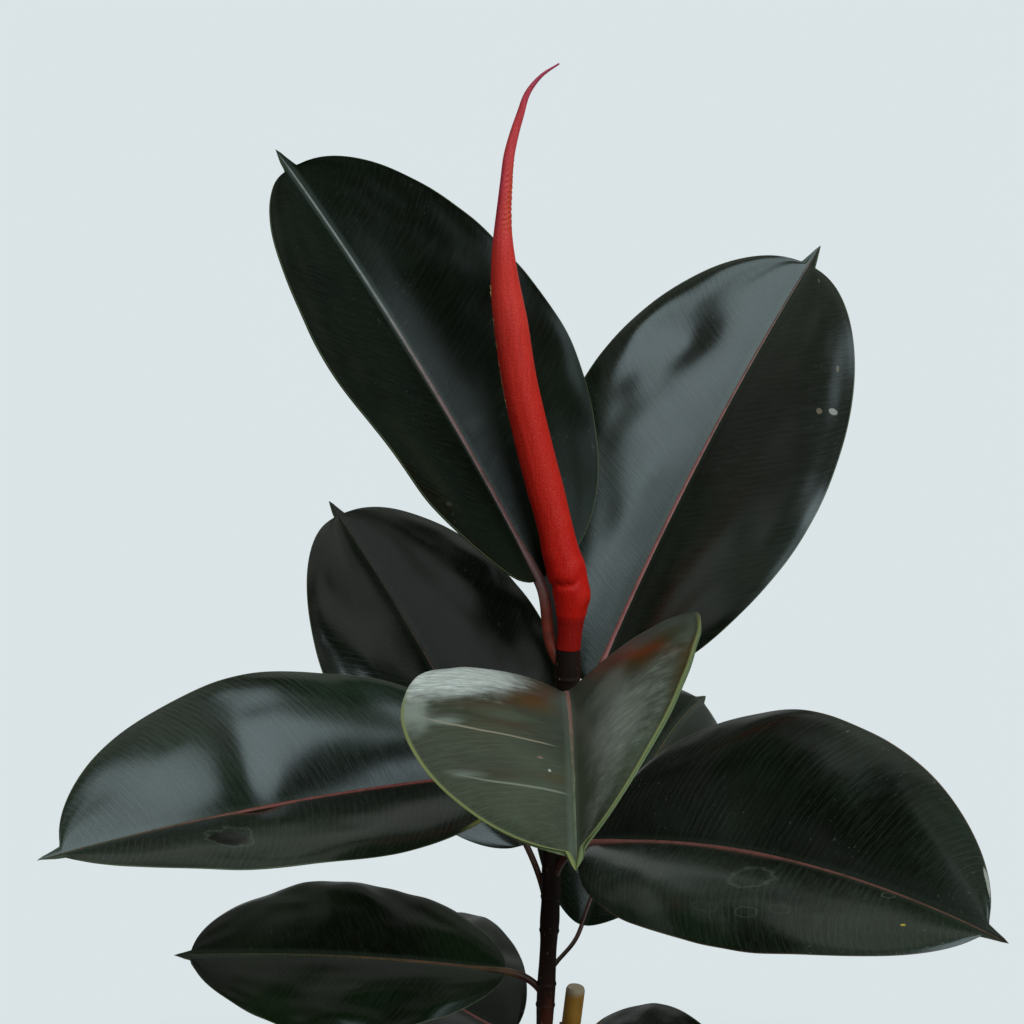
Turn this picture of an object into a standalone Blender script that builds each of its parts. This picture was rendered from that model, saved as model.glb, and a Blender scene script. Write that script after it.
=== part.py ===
"""A young rubber plant with a red bud sheath, staked in a plain clay pot.

Metres, +Z up.  The origin is the centre of the pot's underside.  +X is to the viewer's right
and -Y points at the viewer.  Headings are in degrees, turning from +X towards +Y.
"""
import math
from typing import NamedTuple

import bmesh
import bpy
import numpy as np
from mathutils import Vector

GAP = 0.0003                   # air left between touching pieces

# Pot: a turned clay pot with a rolled rim band and drain holes in a ring.
POT_HEIGHT = 0.190
POT_BASE_RADIUS = 0.074
POT_NECK_RADIUS = 0.104        # outside, just under the rim band
POT_WALL = 0.007
POT_FLOOR = 0.010
RIM_BAND = 0.032
RIM_PROUD = 0.006
POT_SIDES = 48
DRAIN_HOLES = 5
DRAIN_RADIUS = 0.006
DRAIN_CIRCLE = 0.040

# Soil: fills the pot to below the rim, a little higher round the stem.
SOIL_EDGE = 0.162
SOIL_CROWN = 0.166

# Stem: centreline waypoints (x, y, z), from its foot in the soil to where the bud begins.
STEM_ROUTE = [
    (-0.002, 0.000, 0.110),
    (0.000, 0.000, 0.165),
    (0.003, -0.002, 0.260),
    (0.006, -0.002, 0.340),
    (0.009, 0.000, 0.420),
    (0.011, 0.001, 0.465),
    (0.012, 0.001, 0.500),
    (0.016, 0.000, 0.545),
    (0.019, 0.000, 0.588),
    (0.0195, 0.000, 0.6083),
]
STEM_FOOT_RADIUS = 0.0052
STEM_WAIST_RADIUS = 0.0043     # the thinnest stretch, two thirds of the way up
STEM_WAIST_HEIGHT = 0.430
STEM_TOP_RADIUS = 0.0060
NODE_SWELL = 0.0006            # how far the stem thickens at each leaf
NODE_SPREAD = 0.006
STEM_STATIONS = 44

# Bud sheath: centreline and half-width, from its foot on the stem to its curled tip.
SHEATH_ROUTE = [
    (0.0197, 0.000, 0.6086, 0.0062),
    (0.0206, 0.000, 0.623, 0.0068),
    (0.0210, 0.000, 0.636, 0.0089),
    (0.0188, 0.000, 0.648, 0.0094),
    (0.0160, 0.000, 0.657, 0.0094),
    (0.0130, 0.000, 0.671, 0.0087),
    (0.0076, 0.001, 0.692, 0.0090),
    (0.0020, 0.001, 0.714, 0.0090),
    (-0.0050, 0.001, 0.745, 0.0086),
    (-0.0095, 0.001, 0.775, 0.0083),
    (-0.0122, 0.001, 0.794, 0.0071),
    (-0.0132, 0.000, 0.810, 0.0055),
    (-0.0132, 0.000, 0.825, 0.0040),
    (-0.0120, 0.000, 0.842, 0.0031),
    (-0.0100, 0.000, 0.860, 0.0026),
    (-0.0042, 0.000, 0.880, 0.0018),
    (-0.0004, 0.000, 0.8896, 0.0013),
    (0.0059, 0.000, 0.8965, 0.0008),
    (0.0136, 0.000, 0.9015, 0.0004),
]
SHEATH_STATIONS = 30

# Stake: a cane behind the stem, leaning to the right, cut square at both ends.
STAKE_TOP = Vector((0.0250, 0.0135, 0.4145))
STAKE_LEAN = 6.3
STAKE_LENGTH = 0.3745
STAKE_RADIUS = 0.0053

# Tie: a soft loop that holds the stem to the stake.
TIE_HEIGHT = 0.386
TIE_RADIUS = 0.0016
TIE_CLEARANCE = 0.0006
TIE_SIDES = 8

# Leaves.
BLADE_THICKNESS = 0.0012
BLADE_ACROSS = 6
BLADE_ALONG = 14
DRIP_TIP = 0.05                # share of the blade that is the drip tip
DRIP_TIP_WIDTH = 0.055         # its half-width at the root, over the blade's
DOME = 0.30                    # how far each lobe arches above a straight line, or, below 0, sags
PETIOLE_RADIUS = 0.0021
MIDRIB_RADIUS = 0.0010
MIDRIB_SHARE = 0.30            # share of the blade that the thick midrib runs under
PETIOLE_SIDES = 8


class Leaf(NamedTuple):
    """One leaf: where its stalk leaves the stem, and how its blade is held."""
    name: str
    node: float      # height on the stem
    side: float      # heading of the stalk and of the blade's root
    leave: float     # elevation at which the stalk leaves the stem
    reach: float     # from the stem's centreline out to the blade's root
    climb: float     # from the node up to the blade's root
    length: float
    width: float
    rise: float      # elevation of the midrib at the root
    bend: float      # change of elevation along the midrib
    sway: float      # change of heading along the midrib
    fold: float      # how far each lobe is raised from flat
    roll: float      # turn about the midrib, positive lifts the right-hand lobe
    twist: float     # change of roll along the midrib
    skew: float      # under 1 puts the widest place nearer the tip's end
    full: float      # under 0.5 is a blunter outline
    dome: float = DOME


LEAVES = [
    Leaf("leaf_upper_left", 0.597, 152, 34, 0.0166, 0.045, 0.259, 0.149, 59, -10, 1, 31, 29, 18, 0.90, 0.49,
         dome=-0.14),
    Leaf("leaf_front", 0.568, 270, 54, 0.036, 0.028, 0.222, 0.156, 22, -45, 0, 26, -17, -19, 1.07, 0.56),
    Leaf("leaf_upper_right", 0.559, 40, 45, 0.020, 0.025, 0.267, 0.148, 59, -13, 1, 15, -31, -1, 1.02, 0.51),
    Leaf("leaf_left", 0.524, 207, 66, 0.030, 0.022, 0.250, 0.138, 5, -7, 8, 24, 27, -12, 1.00, 0.53),
    Leaf("leaf_right", 0.476, 317, 75, 0.029, 0.034, 0.248, 0.148, 19, -28, 0, 22, -35, -1, 0.97, 0.56),
    Leaf("leaf_back_left", 0.457, 130, 78, 0.019, 0.038, 0.226, 0.129, 48, -10, 3, 21, 26, -11, 0.95, 0.51),
    Leaf("leaf_back_right", 0.427, 64, 20, 0.044, 0.011, 0.218, 0.116, 44, -51, 5, -2, -24, -24, 1.02, 0.62),
    Leaf("leaf_low_left", 0.415, 175, 60, 0.021, 0.014, 0.175, 0.107, 6, -6, 10, 2, 23, 4, 1.02, 0.54),
    Leaf("leaf_low_back", 0.368, 126, 50, 0.030, 0.013, 0.225, 0.120, -3, -7, -14, 11, 11, 0, 1.05, 0.55),
    Leaf("leaf_low_right", 0.350, 295, 60, 0.021, 0.024, 0.206, 0.114, 20, -20, 0, 18, -42, 5, 0.92, 0.47),
    Leaf("leaf_bottom_left", 0.322, 228, 55, 0.028, 0.016, 0.205, 0.122, 2, -26, -6, 14, 12, -6, 1.00, 0.52),
    Leaf("leaf_bottom_right", 0.290, 12, 55, 0.028, 0.016, 0.195, 0.115, 0, -24, 8, 12, -14, 4, 1.00, 0.52),
    Leaf("leaf_bottom_back", 0.256, 122, 50, 0.028, 0.014, 0.185, 0.110, -2, -26, 6, 12, 10, 0, 1.00, 0.52),
]


# ---- helpers -------------------------------------------------------------------------------

def clear_scene():
    for thing in list(bpy.data.objects):
        bpy.data.objects.remove(thing, do_unlink=True)


def new_collection(name):
    collection = bpy.data.collections.new(name)
    bpy.context.scene.collection.children.link(collection)
    return collection


def make_material(name, colour, roughness, metallic=0.0):
    material = bpy.data.materials.new(name)
    material.use_nodes = True
    shader = material.node_tree.nodes["Principled BSDF"]
    shader.inputs["Base Color"].default_value = (*colour, 1.0)
    shader.inputs["Roughness"].default_value = roughness
    shader.inputs["Metallic"].default_value = metallic
    material.diffuse_color = (*colour, 1.0)
    return material


def add_object(name, data, collection, material=None):
    thing = bpy.data.objects.new(name, data)
    collection.objects.link(thing)
    if material is not None:
        data.materials.append(material)
    return thing


def hide_cutter(thing):
    thing.hide_render = True
    thing.display_type = "WIRE"


def cut_or_join(target, other, operation):
    modifier = target.modifiers.new(operation.title(), "BOOLEAN")
    modifier.operation = operation
    modifier.solver = "EXACT"
    modifier.object = other
    hide_cutter(other)


def smooth_route(points, count):
    """Evenly stationed points on a Catmull-Rom curve through the given rows."""
    rows = np.array(points, dtype=float)
    padded = np.vstack([2 * rows[0] - rows[1], rows, 2 * rows[-1] - rows[-2]])
    dense = []
    for start in range(len(rows) - 1):
        a, b, c, d = padded[start:start + 4]
        for t in np.linspace(0, 1, 24, endpoint=False):
            value = 2 * b + (c - a) * t + (2 * a - 5 * b + 4 * c - d) * t ** 2
            value = value + (3 * b - a - 3 * c + d) * t ** 3
            dense.append(value / 2)
    dense.append(rows[-1])
    dense = np.array(dense)
    steps = np.linalg.norm(np.diff(dense[:, :3], axis=0), axis=1)
    along = np.concatenate([[0], np.cumsum(steps)])
    wanted = np.linspace(0, along[-1], count)
    columns = [np.interp(wanted, along, dense[:, column]) for column in range(rows.shape[1])]
    return np.stack(columns, axis=1)


def tube_curve(name, points, radii, collection, sides, cyclic=False):
    """A bevelled poly curve with filled caps.  sides is 4, 6, 8, and so on."""
    curve = bpy.data.curves.new(name, "CURVE")
    curve.dimensions = "3D"
    curve.bevel_depth = 1.0
    curve.bevel_resolution = sides // 2 - 2
    curve.use_fill_caps = True
    curve.twist_mode = "MINIMUM"
    spline = curve.splines.new("POLY")
    spline.points.add(len(points) - 1)
    for place, point, radius in zip(spline.points, points, radii):
        place.co = (*point[:3], 1.0)
        place.radius = radius
    spline.use_cyclic_u = cyclic
    return add_object(name, curve, collection)


def tube(name, points, radii, collection, sides, material=None, cyclic=False):
    """The same as tube_curve, made into one closed mesh."""
    source = tube_curve(name + "_curve", points, radii, collection, sides, cyclic)
    graph = bpy.context.evaluated_depsgraph_get()
    mesh = bpy.data.meshes.new_from_object(source.evaluated_get(graph))
    mesh.name = name
    shape = bmesh.new()
    shape.from_mesh(mesh)
    bmesh.ops.remove_doubles(shape, verts=shape.verts, dist=0.00001)
    bmesh.ops.recalc_face_normals(shape, faces=shape.faces)
    shape.to_mesh(mesh)
    shape.free()
    mesh.materials.clear()
    thing = add_object(name, mesh, collection, material)
    thing.matrix_world = source.matrix_world.copy()
    bpy.data.objects.remove(source, do_unlink=True)
    mesh.shade_smooth()
    return thing


def rounded(corners, radius, steps=2):
    """The corner points with each inner corner replaced by an arc of the given radius."""
    result = [corners[0]]
    for before, corner, after in zip(corners, corners[1:], corners[2:]):
        here = Vector(corner)
        way_in = (here - Vector(before)).normalized()
        way_out = (Vector(after) - here).normalized()
        turn = way_in.angle(way_out)
        back = radius * math.tan(turn / 2)
        start = here - way_in * back
        end = here + way_out * back
        for step in range(steps + 1):
            t = step / steps
            blend = start * (1 - t) ** 2 + here * (2 * t * (1 - t)) + end * t ** 2
            result.append(tuple(blend))
    result.append(corners[-1])
    return result


def turned(name, profile, collection, material, sides):
    """A solid turned about +Z from (radius, height) points that run down the outer side."""
    mesh = bpy.data.meshes.new(name)
    places = [(radius, 0.0, height) for radius, height in profile]
    joins = [(index, index + 1) for index in range(len(profile) - 1)]
    mesh.from_pydata(places, joins, [])
    thing = add_object(name, mesh, collection, material)
    screw = thing.modifiers.new("Turn", "SCREW")
    screw.steps = sides
    screw.render_steps = sides
    screw.use_merge_vertices = True
    screw.merge_threshold = 0.00001
    screw.use_smooth_shade = True
    return thing


# ---- pot and soil --------------------------------------------------------------------------

def pot_outer(height):
    share = height / (POT_HEIGHT - RIM_BAND)
    return POT_BASE_RADIUS + (POT_NECK_RADIUS - POT_BASE_RADIUS) * share


def pot_inner(height):
    return pot_outer(height) - POT_WALL


def make_pot(collection, cutters):
    clay = make_material("fired_clay", (0.62, 0.30, 0.19), 0.85)
    neck = POT_HEIGHT - RIM_BAND
    mouth = pot_inner(POT_HEIGHT)
    band_low = POT_NECK_RADIUS + RIM_PROUD
    band_high = mouth + POT_WALL + RIM_PROUD * 0.8
    corners = [
        (0.0, POT_FLOOR),
        (pot_inner(POT_FLOOR), POT_FLOOR),
        (mouth, POT_HEIGHT),
        (band_high, POT_HEIGHT),
        (band_low, neck),
        (POT_NECK_RADIUS, neck - RIM_PROUD * 0.4),
        (POT_BASE_RADIUS, 0.0),
        (0.0, 0.0),
    ]
    pot = turned("pot", rounded(corners, 0.0018), collection, clay, POT_SIDES)
    for index in range(DRAIN_HOLES):
        turn = math.tau * (index + 0.5) / DRAIN_HOLES
        centre = (DRAIN_CIRCLE * math.cos(turn), DRAIN_CIRCLE * math.sin(turn), POT_FLOOR / 2)
        mesh = bpy.data.meshes.new("drain_hole")
        shape = bmesh.new()
        bmesh.ops.create_cone(shape, cap_ends=True, segments=12, radius1=DRAIN_RADIUS,
                              radius2=DRAIN_RADIUS, depth=POT_FLOOR * 3)
        shape.to_mesh(mesh)
        shape.free()
        hole = add_object("drain_hole", mesh, cutters)
        hole.location = centre
        cut_or_join(pot, hole, "DIFFERENCE")
    return pot


def make_soil(collection, stem_cutter, stake_cutter):
    earth = make_material("potting_soil", (0.07, 0.045, 0.03), 0.95)
    floor = POT_FLOOR + GAP
    corners = [
        (0.0, SOIL_CROWN),
        (0.030, SOIL_CROWN - 0.0008),
        (pot_inner(SOIL_EDGE) - GAP - 0.020, SOIL_EDGE + 0.0012),
        (pot_inner(SOIL_EDGE) - GAP - 0.001, SOIL_EDGE),
        (pot_inner(floor) - GAP - 0.002, floor),
        (0.0, floor),
    ]
    soil = turned("soil", corners, collection, earth, POT_SIDES)
    cut_or_join(soil, stem_cutter, "DIFFERENCE")
    cut_or_join(soil, stake_cutter, "DIFFERENCE")
    return soil


# ---- stem, sheath, stake and tie -----------------------------------------------------------

STEM_LINE = smooth_route(STEM_ROUTE, 240)


def stem_centre(height):
    x = np.interp(height, STEM_LINE[:, 2], STEM_LINE[:, 0])
    y = np.interp(height, STEM_LINE[:, 2], STEM_LINE[:, 1])
    return Vector((float(x), float(y), height))


def stem_radius(height):
    heights = [STEM_ROUTE[1][2], STEM_WAIST_HEIGHT, STEM_ROUTE[-2][2]]
    radii = [STEM_FOOT_RADIUS, STEM_WAIST_RADIUS, STEM_TOP_RADIUS]
    radius = float(np.interp(height, heights, radii))
    for leaf in LEAVES:
        away = (height - leaf.node) / NODE_SPREAD
        radius += NODE_SWELL * math.exp(-away * away)
    return radius


def stem_tube(name, collection, grow, material=None):
    """The stem, or with grow above 0 the same shape larger all round."""
    points = smooth_route(STEM_ROUTE, STEM_STATIONS)
    radii = [stem_radius(point[2]) + grow for point in points]
    points[0, 2] -= grow
    points[-1, 2] += grow
    return tube(name, points, radii, collection, 12, material)


def stake_line(grow=0.0):
    lean = math.radians(STAKE_LEAN)
    down = Vector((-math.sin(lean), 0.0, -math.cos(lean)))
    top = STAKE_TOP - down * grow
    foot = STAKE_TOP + down * (STAKE_LENGTH + grow)
    return top, foot


def stake_centre(height):
    top, foot = stake_line()
    share = (height - foot.z) / (top.z - foot.z)
    return foot.lerp(top, share)


def stake_tube(name, collection, grow, material=None):
    top, foot = stake_line(grow)
    points = [foot, foot.lerp(top, 0.5), top]
    radii = [STAKE_RADIUS + grow] * len(points)
    return tube(name, points, radii, collection, 12, material)


def make_sheath(collection):
    red = make_material("red_sheath", (0.48, 0.04, 0.04), 0.45)
    rows = smooth_route(SHEATH_ROUTE, SHEATH_STATIONS)
    return tube("bud_sheath", rows[:, :3], rows[:, 3], collection, 12, red)


def make_tie(collection):
    """A closed loop round two posts: half a circle about each, joined by straight runs."""
    twine = make_material("soft_twine", (0.42, 0.33, 0.20), 0.9)
    stem = stem_centre(TIE_HEIGHT)
    stake = stake_centre(TIE_HEIGHT)
    away = stake - stem
    heading = math.atan2(away.y, away.x)
    reach = TIE_RADIUS + TIE_CLEARANCE
    posts = [
        (stem, stem_radius(TIE_HEIGHT) + reach, heading + math.pi / 2),
        (stake, STAKE_RADIUS + reach, heading - math.pi / 2),
    ]
    points = []
    for centre, radius, start in posts:
        for step in range(TIE_SIDES + 1):
            turn = start + math.pi * step / TIE_SIDES
            spread = Vector((math.cos(turn), math.sin(turn), 0.0)) * radius
            points.append(centre + spread)
    return tube("tie", points, [TIE_RADIUS] * len(points), collection, 8, twine, cyclic=True)


# ---- leaves --------------------------------------------------------------------------------

def pointing(heading, elevation):
    heading = math.radians(heading)
    elevation = math.radians(elevation)
    flat = math.cos(elevation)
    return Vector((math.cos(heading) * flat, math.sin(heading) * flat, math.sin(elevation)))


def blade_root(leaf):
    out = pointing(leaf.side, 0.0) * leaf.reach
    return stem_centre(leaf.node) + out + Vector((0.0, 0.0, leaf.climb))


def midrib(leaf, steps=64):
    """Points along the middle of the blade, from its root to the end of its drip tip."""
    place = blade_root(leaf)
    points = [place.copy()]
    for step in range(steps):
        share = (step + 0.5) / steps
        way = pointing(leaf.side + leaf.sway * share, leaf.rise + leaf.bend * share)
        place = place + way * (leaf.length / steps)
        points.append(place.copy())
    return points


def half_width(leaf, share):
    body = min(share / (1.0 - DRIP_TIP), 1.0)
    swell = max(math.sin(math.pi * body ** leaf.skew), 0.0) ** leaf.full
    drip = DRIP_TIP_WIDTH * min((1.0 - share) / DRIP_TIP, 1.0) if share > 0.5 else 0.0
    return leaf.width / 2 * max(swell, drip)


def blade_point(leaf, line, across, share):
    """A point of the blade: across runs from -1, left, to 1, right."""
    index = share * (len(line) - 1)
    low = min(int(index), len(line) - 2)
    middle = line[low].lerp(line[low + 1], index - low)
    way = pointing(leaf.side + leaf.sway * share, leaf.rise + leaf.bend * share)
    right = way.cross(Vector((0.0, 0.0, 1.0))).normalized()
    upward = right.cross(way)
    roll = math.radians(leaf.roll + leaf.twist * (share - 0.5))
    right, upward = (right * math.cos(roll) + upward * math.sin(roll),
                     upward * math.cos(roll) - right * math.sin(roll))
    fold = math.radians(leaf.fold)
    half = half_width(leaf, share)
    lift = math.sin(fold) * abs(across) + leaf.dome * abs(across) * (1.0 - abs(across))
    return middle + (right * math.cos(fold) * across + upward * lift) * half


def make_blade(leaf, collection, material):
    mesh = bpy.data.meshes.new(leaf.name)
    shape = bmesh.new()
    bmesh.ops.create_grid(shape, x_segments=BLADE_ACROSS, y_segments=BLADE_ALONG, size=1.0)
    line = midrib(leaf)
    for vert in shape.verts:
        share = 0.5 - 0.5 * math.cos(math.pi * (vert.co.y + 1.0) / 2.0)
        vert.co = blade_point(leaf, line, vert.co.x, share)
    bmesh.ops.remove_doubles(shape, verts=shape.verts, dist=0.0001)
    shape.to_mesh(mesh)
    shape.free()
    blade = add_object(leaf.name, mesh, collection, material)
    shell = blade.modifiers.new("Thickness", "SOLIDIFY")
    shell.thickness = BLADE_THICKNESS
    shell.offset = 0.0
    mesh.shade_smooth()
    return blade


def stalk_points(leaf, steps=10):
    """The stalk as a curve that leaves the stem, swings out and runs on under the midrib."""
    start = stem_centre(leaf.node)
    end = blade_root(leaf)
    span = (end - start).length
    leave = pointing(leaf.side, leaf.leave) * span * 1.3
    arrive = pointing(leaf.side, leaf.rise) * span * 1.0
    points = []
    for step in range(steps):
        t = step / steps
        from_start = start * (2 * t ** 3 - 3 * t ** 2 + 1) + leave * (t ** 3 - 2 * t ** 2 + t)
        from_end = end * (3 * t ** 2 - 2 * t ** 3) + arrive * (t ** 3 - t ** 2)
        points.append(from_start + from_end)
    line = midrib(leaf)
    for step in range(4):
        share = MIDRIB_SHARE * step / 3
        points.append(line[int(share * (len(line) - 1))] - Vector((0.0, 0.0, MIDRIB_RADIUS / 2)))
    return points


def make_stalk(leaf, collection):
    points = stalk_points(leaf)
    taper = np.linspace(0.0, 1.0, len(points))
    radii = PETIOLE_RADIUS + (MIDRIB_RADIUS - PETIOLE_RADIUS) * taper ** 2
    return tube(leaf.name + "_stalk", points, radii, collection, PETIOLE_SIDES)


def make_leaf(leaf, collection, cutters, stem_cutter, material):
    blade = make_blade(leaf, collection, material)
    stalk = make_stalk(leaf, cutters)
    cut_or_join(blade, stalk, "UNION")
    cut_or_join(blade, stem_cutter, "DIFFERENCE")
    return blade


# ---- the whole plant -----------------------------------------------------------------------

def main():
    clear_scene()
    plant = new_collection("potted_rubber_plant")
    cutters = new_collection("cutters")
    stem_cutter = stem_tube("stem_cutter", cutters, GAP)
    stake_cutter = stake_tube("stake_cutter", cutters, GAP)
    bark = make_material("stem_bark", (0.10, 0.045, 0.03), 0.6)
    cane = make_material("bamboo_cane", (0.52, 0.38, 0.20), 0.6)
    dark_leaf = make_material("dark_leaf", (0.012, 0.022, 0.014), 0.25)
    olive_leaf = make_material("olive_leaf", (0.07, 0.09, 0.05), 0.3)
    make_pot(plant, cutters)
    make_soil(plant, stem_cutter, stake_cutter)
    stem_tube("stem", plant, 0.0, bark)
    stake_tube("stake", plant, 0.0, cane)
    make_sheath(plant)
    make_tie(plant)
    for leaf in LEAVES:
        material = olive_leaf if leaf.name == "leaf_front" else dark_leaf
        make_leaf(leaf, plant, cutters, stem_cutter, material)


main()
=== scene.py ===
"""Looks of a young rubber plant with a red bud sheath, tied to a cane in a plain clay pot.

The plain solid parts are loaded as a fixed frame.  The pot, soil, stem, cane, tie, sheath and
every leaf are then made again in full detail where the frame has them.  Metres, +Z up; +X is to the
viewer's right and -Y points at the viewer.  Headings are degrees from +X towards +Y.
"""
import math
from typing import NamedTuple

import bmesh
import bpy
import numpy as np
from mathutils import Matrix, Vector


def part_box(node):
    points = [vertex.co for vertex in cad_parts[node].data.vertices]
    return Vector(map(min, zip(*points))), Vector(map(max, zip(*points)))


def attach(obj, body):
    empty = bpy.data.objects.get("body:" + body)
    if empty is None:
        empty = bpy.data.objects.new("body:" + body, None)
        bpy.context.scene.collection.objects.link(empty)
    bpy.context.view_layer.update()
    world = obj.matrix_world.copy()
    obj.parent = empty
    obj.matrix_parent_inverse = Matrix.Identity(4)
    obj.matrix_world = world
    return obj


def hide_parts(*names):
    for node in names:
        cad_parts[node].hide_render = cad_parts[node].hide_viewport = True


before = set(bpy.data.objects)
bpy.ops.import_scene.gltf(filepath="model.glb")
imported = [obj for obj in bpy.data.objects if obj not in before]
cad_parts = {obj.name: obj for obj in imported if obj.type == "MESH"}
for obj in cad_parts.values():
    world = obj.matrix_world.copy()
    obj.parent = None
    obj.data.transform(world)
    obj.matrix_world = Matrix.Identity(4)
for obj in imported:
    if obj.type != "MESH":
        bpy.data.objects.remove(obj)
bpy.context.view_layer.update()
BODY = "root"


# ---- writing node trees as formulas ----------------------------------------------------------

class Wire:
    """An output of a node.  Wires can be added, multiplied and so on like numbers."""

    def __init__(self, maker, socket):
        self.maker = maker
        self.socket = socket

    def also(self, name):
        """Another output of the same node."""
        return Wire(self.maker, find_socket(self.socket.node.outputs, name))

    def __add__(self, other):
        return self.maker.join("ADD", self, other)

    def __radd__(self, other):
        return self.maker.join("ADD", other, self)

    def __sub__(self, other):
        return self.maker.join("SUBTRACT", self, other)

    def __rsub__(self, other):
        return self.maker.join("SUBTRACT", other, self)

    def __mul__(self, other):
        return self.maker.join("MULTIPLY", self, other)

    def __rmul__(self, other):
        return self.maker.join("MULTIPLY", other, self)

    def __truediv__(self, other):
        return self.maker.join("DIVIDE", self, other)

    def __rtruediv__(self, other):
        return self.maker.join("DIVIDE", other, self)

    def __pow__(self, other):
        return self.maker.join("POWER", self, other)


def find_socket(sockets, key):
    if isinstance(key, int):
        return sockets[key]
    return next(socket for socket in sockets if socket.name == key and socket.enabled)


def is_vector(value):
    if isinstance(value, Wire):
        return value.socket.type == "VECTOR"
    return isinstance(value, (tuple, Vector))


MIX_FIRST = 6                   # sockets of a mix node that hold colours
MIX_SECOND = 7
MIX_RESULT = 2


class Maker:
    """Adds nodes to one tree."""

    def __init__(self, tree):
        self.tree = tree

    def feed(self, socket, value):
        if isinstance(value, Wire):
            self.tree.links.new(value.socket, socket)
        elif socket.type == "RGBA" and len(value) == 3:
            socket.default_value = (*value, 1.0)
        else:
            socket.default_value = value

    def make(self, kind, given=None, output=0, **settings):
        made = self.tree.nodes.new(kind)
        for key, value in settings.items():
            setattr(made, key, value)
        for key, value in (given or {}).items():
            self.feed(find_socket(made.inputs, key), value)
        return Wire(self, find_socket(made.outputs, output))

    def math(self, operation, *values):
        return self.make("ShaderNodeMath", dict(enumerate(values)), operation=operation)

    def vector(self, operation, *values):
        return self.make("ShaderNodeVectorMath", dict(enumerate(values)), operation=operation)

    def vector_value(self, operation, *values):
        """A vector operation whose result is a number."""
        return self.make("ShaderNodeVectorMath", dict(enumerate(values)), "Value", operation=operation)

    def join(self, operation, first, second):
        if not is_vector(first) and not is_vector(second):
            return self.math(operation, first, second)
        if operation == "MULTIPLY" and not (is_vector(first) and is_vector(second)):
            arrow, amount = (first, second) if is_vector(first) else (second, first)
            return self.make("ShaderNodeVectorMath", {0: arrow, "Scale": amount}, operation="SCALE")
        return self.vector(operation, first, second)

    def combine(self, x, y, z):
        return self.make("ShaderNodeCombineXYZ", {0: x, 1: y, 2: z})

    def split(self, arrow):
        x = self.make("ShaderNodeSeparateXYZ", {0: arrow})
        return x, x.also("Y"), x.also("Z")

    def sine(self, angle):
        return self.math("SINE", angle)

    def cosine(self, angle):
        return self.math("COSINE", angle)

    def smooth(self, value, low, high):
        """0 below low, 1 above high, and an even curve between; low may be the larger."""
        given = {"Value": value, "From Min": low, "From Max": high, "To Min": 0.0, "To Max": 1.0}
        return self.make("ShaderNodeMapRange", given, interpolation_type="SMOOTHSTEP")

    def noise(self, arrow, scale, detail=3.0, roughness=0.5):
        given = {"Vector": arrow, "Scale": scale, "Detail": detail, "Roughness": roughness}
        return self.make("ShaderNodeTexNoise", given)

    def mix(self, amount, first, second):
        """The first colour where amount is 0, and the second where it is 1."""
        given = {0: amount, MIX_FIRST: first, MIX_SECOND: second}
        return self.make("ShaderNodeMix", given, output=MIX_RESULT, data_type="RGBA")


# ---- materials -------------------------------------------------------------------------------

class Paint(Maker):
    """A new material with a Principled shader, and the coordinates that patterns use."""

    def __init__(self, name, **values):
        self.material = bpy.data.materials.new(name)
        self.material.use_nodes = True
        super().__init__(self.material.node_tree)
        self.shader = self.tree.nodes["Principled BSDF"]
        for key, value in values.items():
            self.set(key.replace("_", " "), value)

    def set(self, name, value):
        self.feed(self.shader.inputs[name], value)

    def place(self):
        return self.make("ShaderNodeTexCoord", output="Object")

    def attribute(self, name, output="Vector"):
        return self.make("ShaderNodeAttribute", output=output, attribute_name=name)

    def drawn_out(self, place, share):
        """Coordinates that draw a pattern out along Z; the smaller the share, the further."""
        return self.make("ShaderNodeMapping", {"Vector": place, "Scale": (1.0, 1.0, share)})

    def bump(self, height, distance, strength):
        given = {"Height": height, "Distance": distance, "Strength": strength}
        self.set("Normal", self.make("ShaderNodeBump", given))


# ---- geometry trees --------------------------------------------------------------------------

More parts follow.
